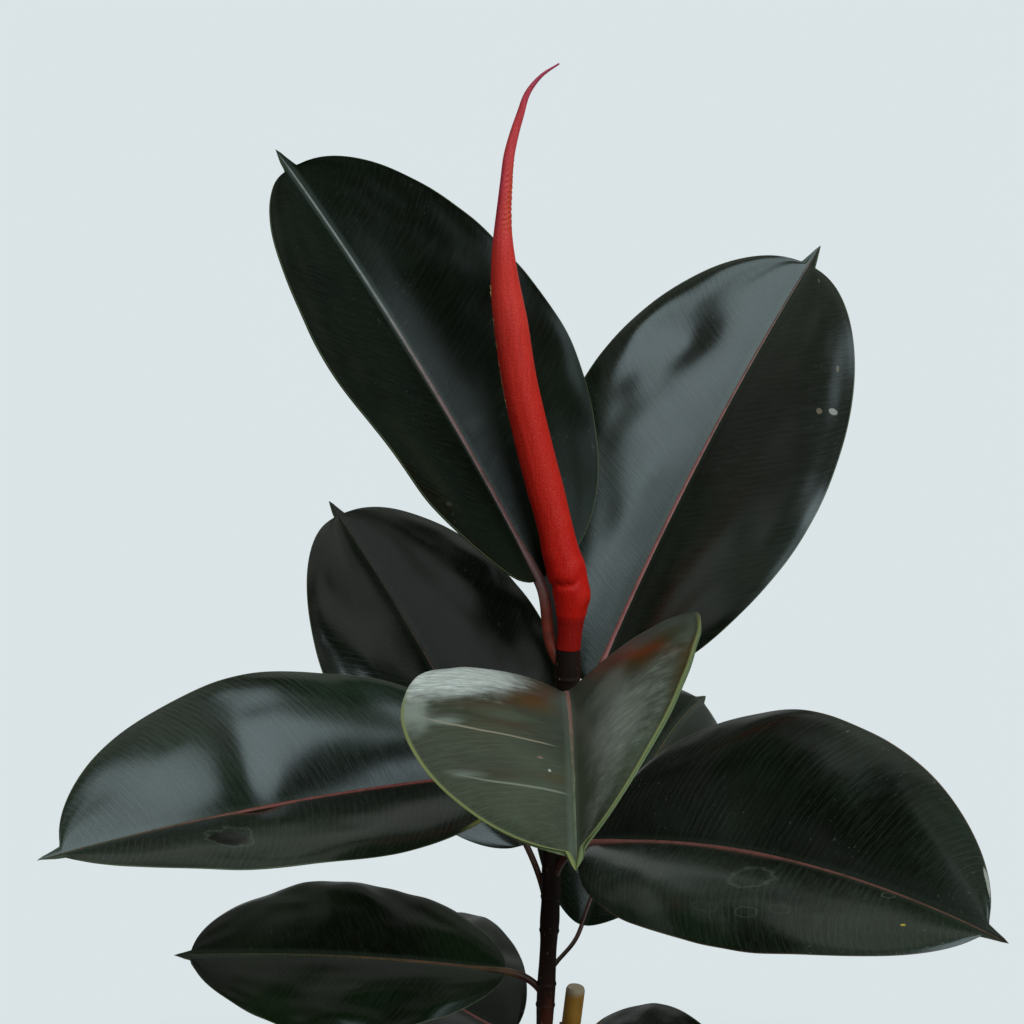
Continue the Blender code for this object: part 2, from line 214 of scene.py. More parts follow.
class Tree(Maker):
    """A Geometry Nodes tree with named inputs.  inputs maps a name to its socket type."""

    def __init__(self, name, inputs):
        super().__init__(bpy.data.node_groups.new(name, "GeometryNodeTree"))
        interface = self.tree.interface
        interface.new_socket("Geometry", in_out="OUTPUT", socket_type="NodeSocketGeometry")
        interface.new_socket("Geometry", in_out="INPUT", socket_type="NodeSocketGeometry")
        self.sockets = {}
        for label, kind in inputs.items():
            made = interface.new_socket(label, in_out="INPUT", socket_type="NodeSocket" + kind)
            self.sockets[label] = made.identifier
        start = self.tree.nodes.new("NodeGroupInput")
        self.given = {socket.name: Wire(self, socket) for socket in start.outputs if socket.name}

    def __getitem__(self, label):
        return self.given[label]

    def store(self, geometry, name, value, kind="FLOAT_VECTOR", domain="POINT"):
        given = {"Geometry": geometry, "Name": name, "Value": value}
        return self.make("GeometryNodeStoreNamedAttribute", given, data_type=kind, domain=domain)

    def named(self, name, kind="FLOAT_VECTOR"):
        return self.make("GeometryNodeInputNamedAttribute", {"Name": name}, data_type=kind)

    def position(self):
        return self.make("GeometryNodeInputPosition")

    def normal(self):
        return self.make("GeometryNodeInputNormal")

    def move(self, geometry, position=None, offset=None):
        given = {"Geometry": geometry}
        if position is not None:
            given["Position"] = position
        if offset is not None:
            given["Offset"] = offset
        return self.make("GeometryNodeSetPosition", given)

    def running_sum(self, value, group=0):
        given = {"Value": value, "Group ID": group}
        return self.make("GeometryNodeAccumulateField", given, output="Leading",
                         data_type="FLOAT_VECTOR", domain="POINT")

    def circle(self, sides):
        return self.make("GeometryNodeCurvePrimitiveCircle", {"Resolution": sides, "Radius": 1.0})

    def sweep(self, rail, outline, radius):
        given = {"Curve": rail, "Profile Curve": outline, "Fill Caps": True, "Scale": radius}
        return self.make("GeometryNodeCurveToMesh", given)

    def tube(self, rail, sides):
        """A tube along the rail, as thick as the rail's own radius says."""
        rail = self.store(rail, "girth", self.make("GeometryNodeInputRadius"), "FLOAT")
        return self.sweep(rail, self.circle(sides), self.named("girth", "FLOAT"))

    def points_on(self, mesh, density, seed, selection=True):
        given = {"Mesh": mesh, "Selection": selection, "Density": density, "Seed": seed}
        return self.make("GeometryNodeDistributePointsOnFaces", given)

    def ball(self, fineness):
        given = {"Radius": 1.0, "Subdivisions": fineness}
        return self.make("GeometryNodeMeshIcoSphere", given, output="Mesh")

    def copies(self, points, grain, rotation, scale):
        """A copy of the grain on every point, as real geometry."""
        given = {"Points": points, "Instance": grain, "Rotation": rotation, "Scale": scale}
        instances = self.make("GeometryNodeInstanceOnPoints", given)
        return self.make("GeometryNodeRealizeInstances", {"Geometry": instances})

    def opposite(self, selection):
        return self.make("FunctionNodeBooleanMath", {0: selection}, operation="NOT")

    def factor(self):
        return self.make("GeometryNodeSplineParameter", output="Factor")

    def random(self, low, high, seed):
        kind = "FLOAT_VECTOR" if isinstance(low, tuple) else "FLOAT"
        given = {"Min": low, "Max": high, "Seed": seed}
        return self.make("FunctionNodeRandomValue", given, output="Value", data_type=kind)

    def join_all(self, *parts):
        made = self.tree.nodes.new("GeometryNodeJoinGeometry")
        for part in parts:
            self.tree.links.new(part.socket, made.inputs[0])
        return Wire(self, made.outputs[0])

    def finish(self, geometry, *skins):
        """Realize Instances, then Set Material for each (material, selection) in skins."""
        shape = self.make("GeometryNodeRealizeInstances", {"Geometry": geometry})
        shape = self.make("GeometryNodeSetShadeSmooth", {"Geometry": shape, "Shade Smooth": True})
        for material, selection in skins:
            given = {"Geometry": shape, "Selection": selection, "Material": material}
            shape = self.make("GeometryNodeSetMaterial", given)
        end = self.tree.nodes.new("NodeGroupOutput")
        self.tree.links.new(shape.socket, end.inputs["Geometry"])

    def finish_marked(self, geometry, mark, plain_skin, marked_skin):
        """Finish, with one material on the faces that carry the mark and another on the rest."""
        marked = self.named(mark, "BOOLEAN")
        self.finish(geometry, (plain_skin, self.opposite(marked)), (marked_skin, marked))


def new_object(name, data):
    thing = bpy.data.objects.new(name, data)
    bpy.context.scene.collection.objects.link(thing)
    return thing


def bake(thing, name):
    """A plain mesh object from thing with its modifiers applied; thing is removed."""
    bpy.context.view_layer.update()
    graph = bpy.context.evaluated_depsgraph_get()
    finished = thing.evaluated_get(graph)
    mesh = bpy.data.meshes.new_from_object(finished, preserve_all_data_layers=True, depsgraph=graph)
    mesh.name = name
    bpy.data.objects.remove(thing, do_unlink=True)
    return new_object(name, mesh)


def grow(tree, name, values, carrier=None):
    """Runs a tree with the given input values and returns the plain mesh object."""
    carrier = carrier or new_object(name + "_source", bpy.data.meshes.new(name + "_source"))
    modifier = carrier.modifiers.new("Shape", "NODES")
    modifier.node_group = tree.tree
    for label, value in values.items():
        modifier[tree.sockets[label]] = value
    return bake(carrier, name)


def keep(piece, slot, *nodes):
    """The piece rides on the plant and stands for the named frame nodes, which are hidden; slot is not
    used.
    """
    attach(piece, BODY)
    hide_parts(*nodes)


# ---- routes read from the frame --------------------------------------------------------------

RING_CORNERS = 12               # corners in each ring of the frame's tubes
WELD_DISTANCE = 0.00001         # corners closer than this are one corner
ROUTE_FINENESS = 16             # steps taken between two rows when a route is rounded
STEM_STEPS = 900
SHEATH_STEPS = 420


def frame_rings(node):
    """(x, y, z, radius) of each ring of corners of a tube in the frame, lowest first."""
    shape = bmesh.new()
    shape.from_mesh(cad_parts[node].data)
    bmesh.ops.remove_doubles(shape, verts=shape.verts, dist=WELD_DISTANCE)
    corners = sorted((vert.co.copy() for vert in shape.verts), key=lambda corner: corner.z)
    shape.free()
    rows = []
    for start in range(0, len(corners), RING_CORNERS):
        ring = corners[start:start + RING_CORNERS]
        centre = sum(ring, Vector()) / len(ring)
        radius = sum((corner - centre).length for corner in ring) / len(ring)
        rows.append((*centre, radius))
    return np.array(rows)


def smooth_route(rows, count):
    """Evenly spaced rows on a Catmull-Rom curve through the given rows."""
    padded = np.vstack([2 * rows[0] - rows[1], rows, 2 * rows[-1] - rows[-2]])
    dense = []
    for start in range(len(rows) - 1):
        a, b, c, d = padded[start:start + 4]
        for t in np.linspace(0, 1, ROUTE_FINENESS, endpoint=False):
            value = 2 * b + (c - a) * t + (2 * a - 5 * b + 4 * c - d) * t ** 2
            value = value + (3 * b - a - 3 * c + d) * t ** 3
            dense.append(value / 2)
    dense.append(rows[-1])
    dense = np.array(dense)
    steps = np.linalg.norm(np.diff(dense[:, :3], axis=0), axis=1)
    along = np.concatenate([[0], np.cumsum(steps)])
    wanted = np.linspace(0, along[-1], count)
    columns = [np.interp(wanted, along, dense[:, column]) for column in range(dense.shape[1])]
    return np.stack(columns, axis=1)


def route_curve(name, rows):
    """A poly curve object through (x, y, z, radius) rows, for a tree to work on."""
    curve = bpy.data.curves.new(name, "CURVE")
    curve.dimensions = "3D"
    curve.twist_mode = "MINIMUM"
    spline = curve.splines.new("POLY")
    spline.points.add(len(rows) - 1)
    for point, row in zip(spline.points, rows):
        point.co = (row[0], row[1], row[2], 1.0)
        point.radius = row[3]
    return new_object(name, curve)


STEM_ROWS = smooth_route(frame_rings("stem"), STEM_STEPS)
SHEATH_ROWS = smooth_route(frame_rings("bud_sheath"), SHEATH_STEPS)


def stem_at(height):
    """The point of the stem's centreline at a height."""
    x = np.interp(height, STEM_ROWS[:, 2], STEM_ROWS[:, 0])
    y = np.interp(height, STEM_ROWS[:, 2], STEM_ROWS[:, 1])
    return Vector((float(x), float(y), height))


# ---- leaves ----------------------------------------------------------------------------------

class Leaf(NamedTuple):
    """How one leaf is held; the frame's leaves are built from the same figures."""
    name: str
    node: float      # height on the stem
    side: float      # heading of the stalk and of the blade's root
    leave: float     # elevation at which the stalk leaves the stem
    reach: float     # from the stem's centreline out to the blade's root
    climb: float     # from the node up to the blade's root
    length: float
    width: float
    rise: float      # elevation of the midrib at the root
    bend: float      # change of elevation along the midrib
    sway: float      # change of heading along the midrib
    fold: float      # how far each lobe is raised from flat
    roll: float      # turn about the midrib, positive lifts the right-hand lobe
    twist: float     # change of roll along the midrib
    skew: float      # under 1 puts the widest place nearer the tip's end
    full: float      # under 0.5 is a blunter outline


LEAVES = [                      # on the first line the stalk, on the second the blade
    Leaf("leaf_upper_left", 0.597, 152, 34, 0.0166, 0.045,
         0.259, 0.149, 59, -10, 1, 31, 29, 18, 0.90, 0.49),
    Leaf("leaf_front", 0.568, 270, 54, 0.036, 0.028,
         0.222, 0.156, 22, -45, 0, 26, -17, -19, 1.07, 0.56),
    Leaf("leaf_upper_right", 0.559, 40, 45, 0.020, 0.025,
         0.267, 0.148, 59, -13, 1, 15, -31, -1, 1.02, 0.51),
    Leaf("leaf_left", 0.524, 207, 66, 0.030, 0.022,
         0.250, 0.138, 5, -7, 8, 24, 27, -12, 1.00, 0.53),
    Leaf("leaf_right", 0.476, 317, 75, 0.029, 0.034,
         0.248, 0.148, 19, -28, 0, 22, -35, -1, 0.97, 0.56),
    Leaf("leaf_back_left", 0.457, 130, 78, 0.019, 0.038,
         0.226, 0.129, 48, -10, 3, 21, 26, -11, 0.95, 0.51),
    Leaf("leaf_back_right", 0.427, 64, 20, 0.044, 0.011,
         0.218, 0.116, 44, -51, 5, -2, -24, -24, 1.02, 0.62),
    Leaf("leaf_low_left", 0.415, 175, 60, 0.021, 0.014,
         0.175, 0.107, 6, -6, 10, 2, 23, 4, 1.02, 0.54),
    Leaf("leaf_low_back", 0.368, 126, 50, 0.030, 0.013,
         0.225, 0.120, -3, -7, -14, 11, 11, 0, 1.05, 0.55),
    Leaf("leaf_low_right", 0.350, 295, 60, 0.021, 0.024,
         0.206, 0.114, 20, -20, 0, 18, -42, 5, 0.92, 0.47),
    Leaf("leaf_bottom_left", 0.322, 228, 55, 0.028, 0.016,
         0.205, 0.122, 2, -26, -6, 14, 12, -6, 1.00, 0.52),
    Leaf("leaf_bottom_right", 0.290, 12, 55, 0.028, 0.016,
         0.195, 0.115, 0, -24, 8, 12, -14, 4, 1.00, 0.52),
    Leaf("leaf_bottom_back", 0.256, 122, 50, 0.028, 0.014,
         0.185, 0.110, -2, -26, 6, 12, 10, 0, 1.00, 0.52),
]

BLADE_THICKNESS = 0.0008
DRIP_TIP = 0.05                 # share of the blade that is the drip tip
DRIP_TIP_WIDTH = 0.055          # its half-width at the root, over the blade's
DOME = 0.30                     # how far each lobe arches above a straight line
MARGIN_LIP = 0.03               # how far the outermost edge is rolled down
RIB_SINK = 0.12                 # how far the rib's centre lies below the blade, over its radius
RIB_FLATTENING = 0.35
VEIN_LEAN = 0.45                # forward run of a side vein over its sideways run
FRONT_VEIN_LEAN = 0.10
VEIN_SPACING = 0.0037
VEIN_CURL = 0.33                # how far a side vein turns towards the tip near the margin
STALK_SHARE = 0.25              # share of the rib's stations that the stalk takes
STALK_PULL = 1.3                # how far the stalk keeps to its first direction
STALK_FLARE = 0.35              # how much thicker it is where it leaves the stem
RIB_SIDES = 14
RIB_TAPER = 0.62                # share of its radius that the midrib loses up to the tip
RIB_ONSET = 0.12                # share of the blade over which the stalk turns into the midrib
OUTLINE_BLEND = 0.06            # how softly the oval runs over into the drip tip
ROOT_CLOSING = 0.004            # shares of the blade within which its outline closes
TIP_CLOSING = 0.012
ROOT_THINNING = 0.02            # shares of the blade within which its thickness runs out
TIP_THINNING = 0.03
MARGIN_ROUNDING = 0.0005        # from the margin in to the blade's full thickness
MARGIN_RISE = 0.6               # how far the margin's bead stands up, over the thickness
LIP_SHARPNESS = 14.0
RIPPLE_COUNT = 3.0
RIPPLE_LAG = 0.3                # how much later a ripple comes at the margin than at the midrib
SKIN_WELD = 0.000002            # the blade's two skins meet at the margin within this distance
THIN_MARGIN = (0.5, 0.0012)     # how much thicker a margin is than the blade, and its width
FLESHY_MARGIN = (2.4, 0.0022)
THIN_COLUMNS = 73
FLESHY_COLUMNS = 97
BLADE_ROWS = 140
RIB_STATIONS = 120
PHASE_STEP = 1.3                # these two make every leaf's ripples and bulges its own
SEED_STEP = 3.7

POSTURE_FIGURES = ("side", "leave", "length", "width", "rise", "bend", "sway", "fold", "roll",
                   "twist", "skew", "full")
LEAF_INPUTS = {
    **{figure.capitalize(): "Float" for figure in POSTURE_FIGURES},
    "Stem": "Vector", "Root": "Vector", "Dome": "Float", "Thickness": "Float",
    "Margin Bead": "Float", "Bead Width": "Float", "Margin Lip": "Float", "Ripple": "Float",
    "Ripple Count": "Float", "Ripple Phase": "Float", "Unevenness": "Float",
    "Vein Lean": "Float", "Dent Place": "Vector", "Dent Size": "Vector",
    "Second Dent Place": "Vector", "Second Dent Size": "Vector", "Seed": "Float",
    "Stalk Radius": "Float", "Rib Radius": "Float", "Columns": "Int", "Rows": "Int",
    "Rib Stations": "Int", "Blade Skin": "Material", "Rib Skin": "Material",
}


def pointing(tree, heading, elevation):
    """The direction of a heading and an elevation, both in degrees."""
    heading = tree.math("RADIANS", heading)
    elevation = tree.math("RADIANS", elevation)
    flat = tree.cosine(elevation)
    return tree.combine(tree.cosine(heading) * flat, tree.sine(heading) * flat, tree.sine(elevation))


def posture(tree, share):
    """Directions at a share of the midrib: along it, to the blade's right, and up from it."""
    way = pointing(tree, tree["Side"] + tree["Sway"] * share, tree["Rise"] + tree["Bend"] * share)
    right = tree.vector("NORMALIZE", tree.vector("CROSS_PRODUCT", way, (0.0, 0.0, 1.0)))
    upward = tree.vector("CROSS_PRODUCT", right, way)
    roll = tree.math("RADIANS", tree["Roll"] + tree["Twist"] * (share - 0.5))
    turned_right = right * tree.cosine(roll) + upward * tree.sine(roll)
    turned_up = upward * tree.cosine(roll) - right * tree.sine(roll)
    return way, turned_right, turned_up


def half_width(tree, share):
    """Half the blade's width: a full oval that runs out into the drip tip."""
    body = tree.math("MINIMUM", share / (1.0 - DRIP_TIP), 1.0)
    swell = tree.math("MAXIMUM", tree.sine(body ** tree["Skew"] * math.pi), 0.0) ** tree["Full"]
    drip = tree.math("MINIMUM", (1.0 - share) / DRIP_TIP, 1.0) * DRIP_TIP_WIDTH
    far_half = tree.math("GREATER_THAN", share, 0.5)
    drip = drip * far_half - (1.0 - far_half)
    outline = tree.math("SMOOTH_MAX", swell, drip, OUTLINE_BLEND)
    closing = tree.math("MINIMUM", (1.0 - share) / TIP_CLOSING, 1.0) ** 0.5
    opening = tree.math("MINIMUM", share / ROOT_CLOSING, 1.0) ** 0.5
    return tree["Width"] * 0.5 * outline * closing * opening


def dent(tree, label, across, share):
    """A soft hollow in the blade, at (across, share), with (width, length, depth)."""
    place_across, place_share, _ = tree.split(tree[label + " Place"])
    wide, long, depth = tree.split(tree[label + " Size"])
    sideways = (across - place_across) / wide
    lengthways = (share - place_share) / long
    return tree.math("EXPONENT", (sideways * sideways + lengthways * lengthways) * -1.0) * depth


def bead_at(tree, edge):
    """How much the thick margin shows, from 1 at the very edge to 0 inside it."""
    return tree.math("EXPONENT", (edge / tree["Bead Width"]) ** 2.0 * -1.0) * tree["Margin Bead"]


def make_blade(tree):
    """The blade as a closed shell whose two skins meet at the margin."""
    columns = tree["Columns"]
    rows = tree["Rows"]
    sheet = tree.make("GeometryNodeMeshGrid",
                      {"Size X": 2.0, "Size Y": 1.0, "Vertices X": columns, "Vertices Y": rows})
    x, y, _ = tree.split(tree.position())
    column = tree.math("ROUND", (x + 1.0) * 0.5 * (columns - 1.0))
    even_side = tree.math("ABSOLUTE", x)
    side = (1.0 - tree.cosine(even_side * math.pi)) * 0.5
    across = side * tree.math("SIGN", x)
    even_share = y + 0.5
    share = 0.5 - 0.5 * tree.cosine(even_share * math.pi)
    before = tree.math("MAXIMUM", even_share - 1.0 / (rows - 1.0), 0.0)
    last_share = 0.5 - 0.5 * tree.cosine(before * math.pi)
    step_way, _, _ = posture(tree, (share + last_share) * 0.5)
    step = step_way * ((share - last_share) * tree["Length"])
    middle = tree["Root"] + tree.running_sum(step, column)
    half = half_width(tree, share)
    edge = (1.0 - side) * half
    vein = share * tree["Length"] - (side + side ** 4.0 * VEIN_CURL) * half * tree["Vein Lean"]
    sheet = tree.store(sheet, "blade", tree.combine(across, share, vein))
    sheet = tree.store(sheet, "edge", edge, "FLOAT")
    _, right, upward = posture(tree, share)
    fold = tree.math("RADIANS", tree["Fold"])
    lift = tree.sine(fold) * side + tree["Dome"] * side * (1.0 - side)
    lift = lift - tree["Margin Lip"] * side ** LIP_SHARPNESS
    middle_rows = tree.sine(share * math.pi)
    turn = (share - RIPPLE_LAG * side) * tree["Ripple Count"] * math.tau + tree["Ripple Phase"]
    ripple = tree["Ripple"] * tree.sine(turn) * side * middle_rows
    uneven = tree.noise(tree.combine(across * 1.6, share * 3.2, tree["Seed"]), 1.6, 1.0)
    ripple = ripple + tree["Unevenness"] * (uneven - 0.5) * side * middle_rows
    ripple = ripple - dent(tree, "Dent", across, share) - dent(tree, "Second Dent", across, share)
    ripple = ripple + bead_at(tree, edge) * tree["Thickness"] * MARGIN_RISE
    spread = right * (tree.cosine(fold) * across) + upward * lift
    top = tree.move(sheet, position=middle + spread * half + upward * ripple)
    edge = tree.named("edge", "FLOAT")
    _, share, _ = tree.split(tree.named("blade"))
    root_end = tree.math("MINIMUM", share / ROOT_THINNING, 1.0)
    tip_end = tree.math("MINIMUM", (1.0 - share) / TIP_THINNING, 1.0)
    rounding = tree.math("MINIMUM", edge / MARGIN_ROUNDING, 1.0) ** 0.5
    depth = tree["Thickness"] * (bead_at(tree, edge) + 1.0) * rounding * (root_end * tip_end)
    bottom = tree.move(top, offset=tree.normal() * (depth * -1.0))
    bottom = tree.make("GeometryNodeFlipFaces", {"Mesh": bottom})
    bottom = tree.store(bottom, "under", 1.0, "FLOAT", "FACE")
    top = tree.store(top, "under", 0.0, "FLOAT", "FACE")
    shell = tree.join_all(top, bottom)
    return tree.make("GeometryNodeMergeByDistance", {"Geometry": shell, "Distance": SKIN_WELD})


def make_rib(tree):
    """The stalk, which swings out from the stem, and the midrib that it becomes."""
    stations = tree["Rib Stations"]
    line = tree.make("GeometryNodeMeshLine",
                     {"Count": stations, "Offset": (0.0, 0.0, 1.0)}, mode="OFFSET")
    _, _, station = tree.split(tree.position())
    share = station / (stations - 1.0)
    last = tree.math("MAXIMUM", share - 1.0 / (stations - 1.0), 0.0)
    stalk = tree.math("MINIMUM", share / STALK_SHARE, 1.0)
    blade = tree.math("MAXIMUM", (share - STALK_SHARE) / (1.0 - STALK_SHARE), 0.0)
    before = tree.math("MAXIMUM", (last - STALK_SHARE) / (1.0 - STALK_SHARE), 0.0)
    reach = tree["Root"] - tree["Stem"]
    span = tree.vector_value("LENGTH", reach)
    leave = pointing(tree, tree["Side"], tree["Leave"]) * (span * STALK_PULL)
    arrive = pointing(tree, tree["Side"], tree["Rise"]) * span
    square = stalk * stalk
    cube = square * stalk
    swing = tree["Stem"] * (cube * 2.0 - square * 3.0 + 1.0) + leave * (cube - square * 2.0 + stalk)
    swing = swing + tree["Root"] * (square * 3.0 - cube * 2.0) + arrive * (cube - square)
    step_way, _, _ = posture(tree, (blade + before) * 0.5)
    run = tree.running_sum(step_way * ((blade - before) * tree["Length"]))
    _, _, upward = posture(tree, blade)
    rib_radius = tree["Rib Radius"] * (1.0 - blade * RIB_TAPER) * tree.smooth(blade, 1.02, 0.93)
    blend = tree.smooth(blade, 0.0, RIB_ONSET)
    flare = tree.math("EXPONENT", stalk * -9.0) * STALK_FLARE
    radius = tree["Stalk Radius"] * (1.0 + flare) * (1.0 - blend) + rib_radius * blend
    centre = swing + run - upward * (radius * RIB_SINK * blend)
    line = tree.store(line, "blade", tree.combine(0.0, blade, stalk))
    line = tree.store(line, "girth", radius, "FLOAT")
    line = tree.store(line, "upward", upward * (blend * RIB_FLATTENING))
    line = tree.store(line, "centre", centre)
    line = tree.move(line, position=tree.named("centre"))
    rail = tree.make("GeometryNodeMeshToCurve", {"Mesh": line})
    tube = tree.sweep(rail, tree.circle(RIB_SIDES), tree.named("girth", "FLOAT"))
    away = tree.position() - tree.named("centre")
    flatten = tree.named("upward")
    size = tree.math("MAXIMUM", tree.vector_value("LENGTH", flatten), 0.001)
    height = tree.vector_value("DOT_PRODUCT", away, flatten) / size
    tube = tree.move(tube, offset=flatten * (height * -1.0))
    return tree.store(tube, "rib", True, "BOOLEAN", "FACE")


def leaf_tree():
    """One whole leaf: its blade, and its stalk with the midrib."""
    tree = Tree("Leaf", LEAF_INPUTS)
    whole = tree.join_all(make_blade(tree), make_rib(tree))
    tree.finish_marked(whole, "rib", tree["Blade Skin"], tree["Rib Skin"])
    return tree


class Look(NamedTuple):
    """The finish of one leaf.  Widths are in metres."""
    deep: tuple = (0.0030, 0.0042, 0.0014)
    green: tuple = (0.0058, 0.0100, 0.0040)
    vein: tuple = (0.024, 0.034, 0.022)
    vein_amount: float = 0.30
    brush: float = 0.20           # how much the fine streaks along the side veins show
    margin: tuple = (0.085, 0.095, 0.045)
    margin_width: float = 0.0008
    margin_from: float = 0.0      # where along the blade it starts to show
    under: tuple = (0.055, 0.075, 0.040)
    border: tuple = (0.035, 0.045, 0.030)
    rib_root: tuple = (0.30, 0.065, 0.055)
    rib_tip: tuple = (0.055, 0.050, 0.020)
    rib_fade: float = 0.7         # where along the midrib the colour has turned
    stalk: tuple = (0.060, 0.012, 0.005)
    roughness: float = 0.27
    gloss: float = 0.5
    coat: float = 0.15
    dust: float = 0.25


class Mark(NamedTuple):
    """A blemish, a tinted patch, a patch of painted sheen or a band of painted shade, placed on the
    blade.
    """
    across: float
    along: float
    wide: float
    long: float
    colour: tuple
    amount: float = 1.0
    soft: float = 0.3
    ragged: float = 0.5
    ring: bool = False            # only its outline
    brushed: bool = False         # broken up into streaks along the side veins


class Crease(NamedTuple):
    """A pale line across one lobe, from start to stop."""
    along: float
    fall: float                   # how far it bends back towards the margin
    start: float
    stop: float
    width: float
    colour: tuple
    amount: float = 0.8


FINE_VEINS = 3.3                # fine veins to every side vein
BRUSH_SCALE = 750.0             # streaks along the side veins, per metre across them
FINE_BRUSH_SCALE = 2600.0
BORDER_FADE = (0.0042, 0.0016)  # the greyer border is gone, and is full, at these distances in
DUST_COLOUR = (0.17, 0.18, 0.15)
UNDER_VEIN = (0.11, 0.14, 0.085)


def leaf_skin(name, look, marks, creases):
    """The blade's material, drawn on its own coordinates: across, along, and along the veins."""
    paint = Paint(name + "_skin", IOR=1.45, Coat_Weight=look.coat, Coat_Roughness=0.2,
                  Specular_IOR_Level=look.gloss)
    across, along, vein = paint.split(paint.attribute("blade"))
    edge = paint.attribute("edge", "Fac")
    side = paint.math("ABSOLUTE", across)
    run = side * edge / paint.math("MAXIMUM", 1.0 - side, 0.02)
    place = paint.place()
    warp = (paint.noise(place, 20.0, 2.0) - 0.5) * 0.005
    warp = warp + (paint.noise(place, 130.0, 2.0) - 0.5) * 0.0008
    wave = paint.sine((vein + warp) * (math.tau / VEIN_SPACING)) * 0.5 + 0.5
    fine_turn = (vein + warp * 1.2) * (math.tau * FINE_VEINS / VEIN_SPACING)
    fine_wave = paint.sine(fine_turn) * 0.5 + 0.5
    lines = paint.smooth(wave, 0.84, 1.0) * 0.75 + paint.smooth(fine_wave, 0.70, 1.0) * 0.25
    clear = paint.smooth(run, 0.001, 0.006) * paint.smooth(edge, 0.0006, 0.004)
    lines = lines * clear * paint.smooth(paint.noise(place, 28.0, 2.0), 0.28, 0.68)
    brush_place = paint.combine((vein + warp) * BRUSH_SCALE, across * 6.0, along)
    brush = paint.noise(brush_place, 1.0, 3.0, 0.6)
    fine_place = paint.combine(vein * FINE_BRUSH_SCALE, across * 16.0, along)
    fine_brush = paint.noise(fine_place, 1.0, 2.0, 0.6)
    streaks = paint.smooth(brush * 0.6 + fine_brush * 0.4, 0.42, 0.66)
    clouds = paint.smooth(paint.noise(place, 13.0, 3.0), 0.36, 0.64)
    colour = paint.mix(clouds, look.deep, look.green)
    colour = paint.mix(lines * look.vein_amount, colour, look.vein)
    colour = paint.mix(streaks * look.brush, colour, look.vein)
    dust = paint.smooth(paint.noise(place, 480.0, 2.0, 0.7), 0.64, 0.76)
    dust = dust * paint.smooth(paint.noise(place, 30.0, 2.0), 0.42, 0.68) * look.dust
    colour = paint.mix(dust, colour, DUST_COLOUR)
    ragged = paint.noise(place, 170.0, 3.0) - 0.5
    # marks lay real blemishes and tints, and also painted sheen and painted shade, into the colour
    for mark in marks:
        sideways = (across - mark.across) / mark.wide
        offset = paint.combine(sideways, (along - mark.along) / mark.long, 0.0)
        distance = paint.vector_value("LENGTH", offset) + ragged * mark.ragged
        spot = paint.smooth(distance, 1.0, 1.0 - mark.soft)
        if mark.ring:
            spot = spot * paint.smooth(distance, 0.70, 0.86)
        if mark.brushed:
            spot = spot * (streaks * 0.55 + 0.45)
        colour = paint.mix(spot * mark.amount, colour, mark.colour)
    ridges = lines * 0.25
    for crease in creases:
        strayed = along + warp * 2.0 + side ** 4.0 * crease.fall - crease.along
        strayed = paint.math("ABSOLUTE", strayed)
        line = paint.smooth(strayed, crease.width, crease.width * 0.2)
        line = line * paint.smooth(across, crease.start, crease.start + 0.12)
        line = line * paint.smooth(across, crease.stop, crease.stop - 0.25)
        colour = paint.mix(line * crease.amount, colour, crease.colour)
        ridges = ridges + line * 2.0
    border = paint.smooth(run, *BORDER_FADE)
    colour = paint.mix(border * 0.5, colour, look.border)
    rim = paint.smooth(edge + (warp + 0.0005) * 0.2, look.margin_width, look.margin_width * 0.4)
    rim = rim * paint.smooth(along, look.margin_from - 0.2, look.margin_from)
    colour = paint.mix(rim, colour, look.margin)
    under = paint.attribute("under", "Fac")
    under_colour = paint.mix(lines * 0.5, look.under, UNDER_VEIN)
    colour = paint.mix(under, colour, under_colour)
    paint.set("Base Color", colour)
    roughness = look.roughness + (brush - 0.5) * 0.22 + dust * 0.4 + under * 0.22 + rim * 0.15
    paint.set("Roughness", roughness)
    paint.bump(ridges + brush * 0.35 + fine_brush * 0.25, 0.00025, 0.30)
    return paint.material


def rib_skin(name, look):
    """The midrib's and the stalk's material."""
    paint = Paint(name + "_rib", Roughness=0.42, Coat_Weight=0.08, Coat_Roughness=0.3,
                  Specular_IOR_Level=0.35)
    _, along, stalk = paint.split(paint.attribute("blade"))
    place = paint.place()
    mottle = paint.noise(place, 150.0, 3.0)
    faded = paint.smooth(along + (mottle - 0.5) * 0.12, look.rib_fade * 0.3, look.rib_fade)
    colour = paint.mix(faded, look.rib_root, look.rib_tip)
    colour = paint.mix(paint.smooth(stalk, 1.0, 0.55), colour, look.stalk)
    grain = paint.noise(place, 1100.0, 2.0)
    colour = paint.mix(paint.smooth(mottle, 0.42, 0.70) * 0.35, colour, look.deep)
    colour = paint.mix(paint.smooth(grain, 0.50, 0.75) * 0.30, colour, look.rib_root)
    paint.set("Base Color", colour)
    paint.bump(grain, 0.0002, 0.3)
    return paint.material


DARK = Look()
GREENER = DARK._replace(green=(0.0085, 0.0165, 0.0070), vein=(0.050, 0.066, 0.048), vein_amount=0.50)
OLIVE = Look(deep=(0.029, 0.034, 0.016), green=(0.050, 0.064, 0.034), vein=(0.12, 0.14, 0.095),
             vein_amount=0.22, brush=0.25, margin=(0.22, 0.235, 0.075), margin_width=0.0026,
             margin_from=0.55, under=(0.16, 0.19, 0.08), border=(0.13, 0.16, 0.115),
             rib_root=(0.33, 0.165, 0.135), rib_tip=(0.17, 0.21, 0.13), rib_fade=0.85,
             roughness=0.34, coat=0.1, dust=0.12)
BRONZE = (0.062, 0.047, 0.006)
# the next two colours are painted sheen and a painted highlight, laid into the front leaf's colour
PAINTED_SHEEN = (0.42, 0.46, 0.39)
PAINTED_HIGHLIGHT = (0.92, 0.93, 0.87)
PALE = (0.40, 0.38, 0.32)
BLACK = (0.0012, 0.0012, 0.001)
SCAB = (0.20, 0.15, 0.10)

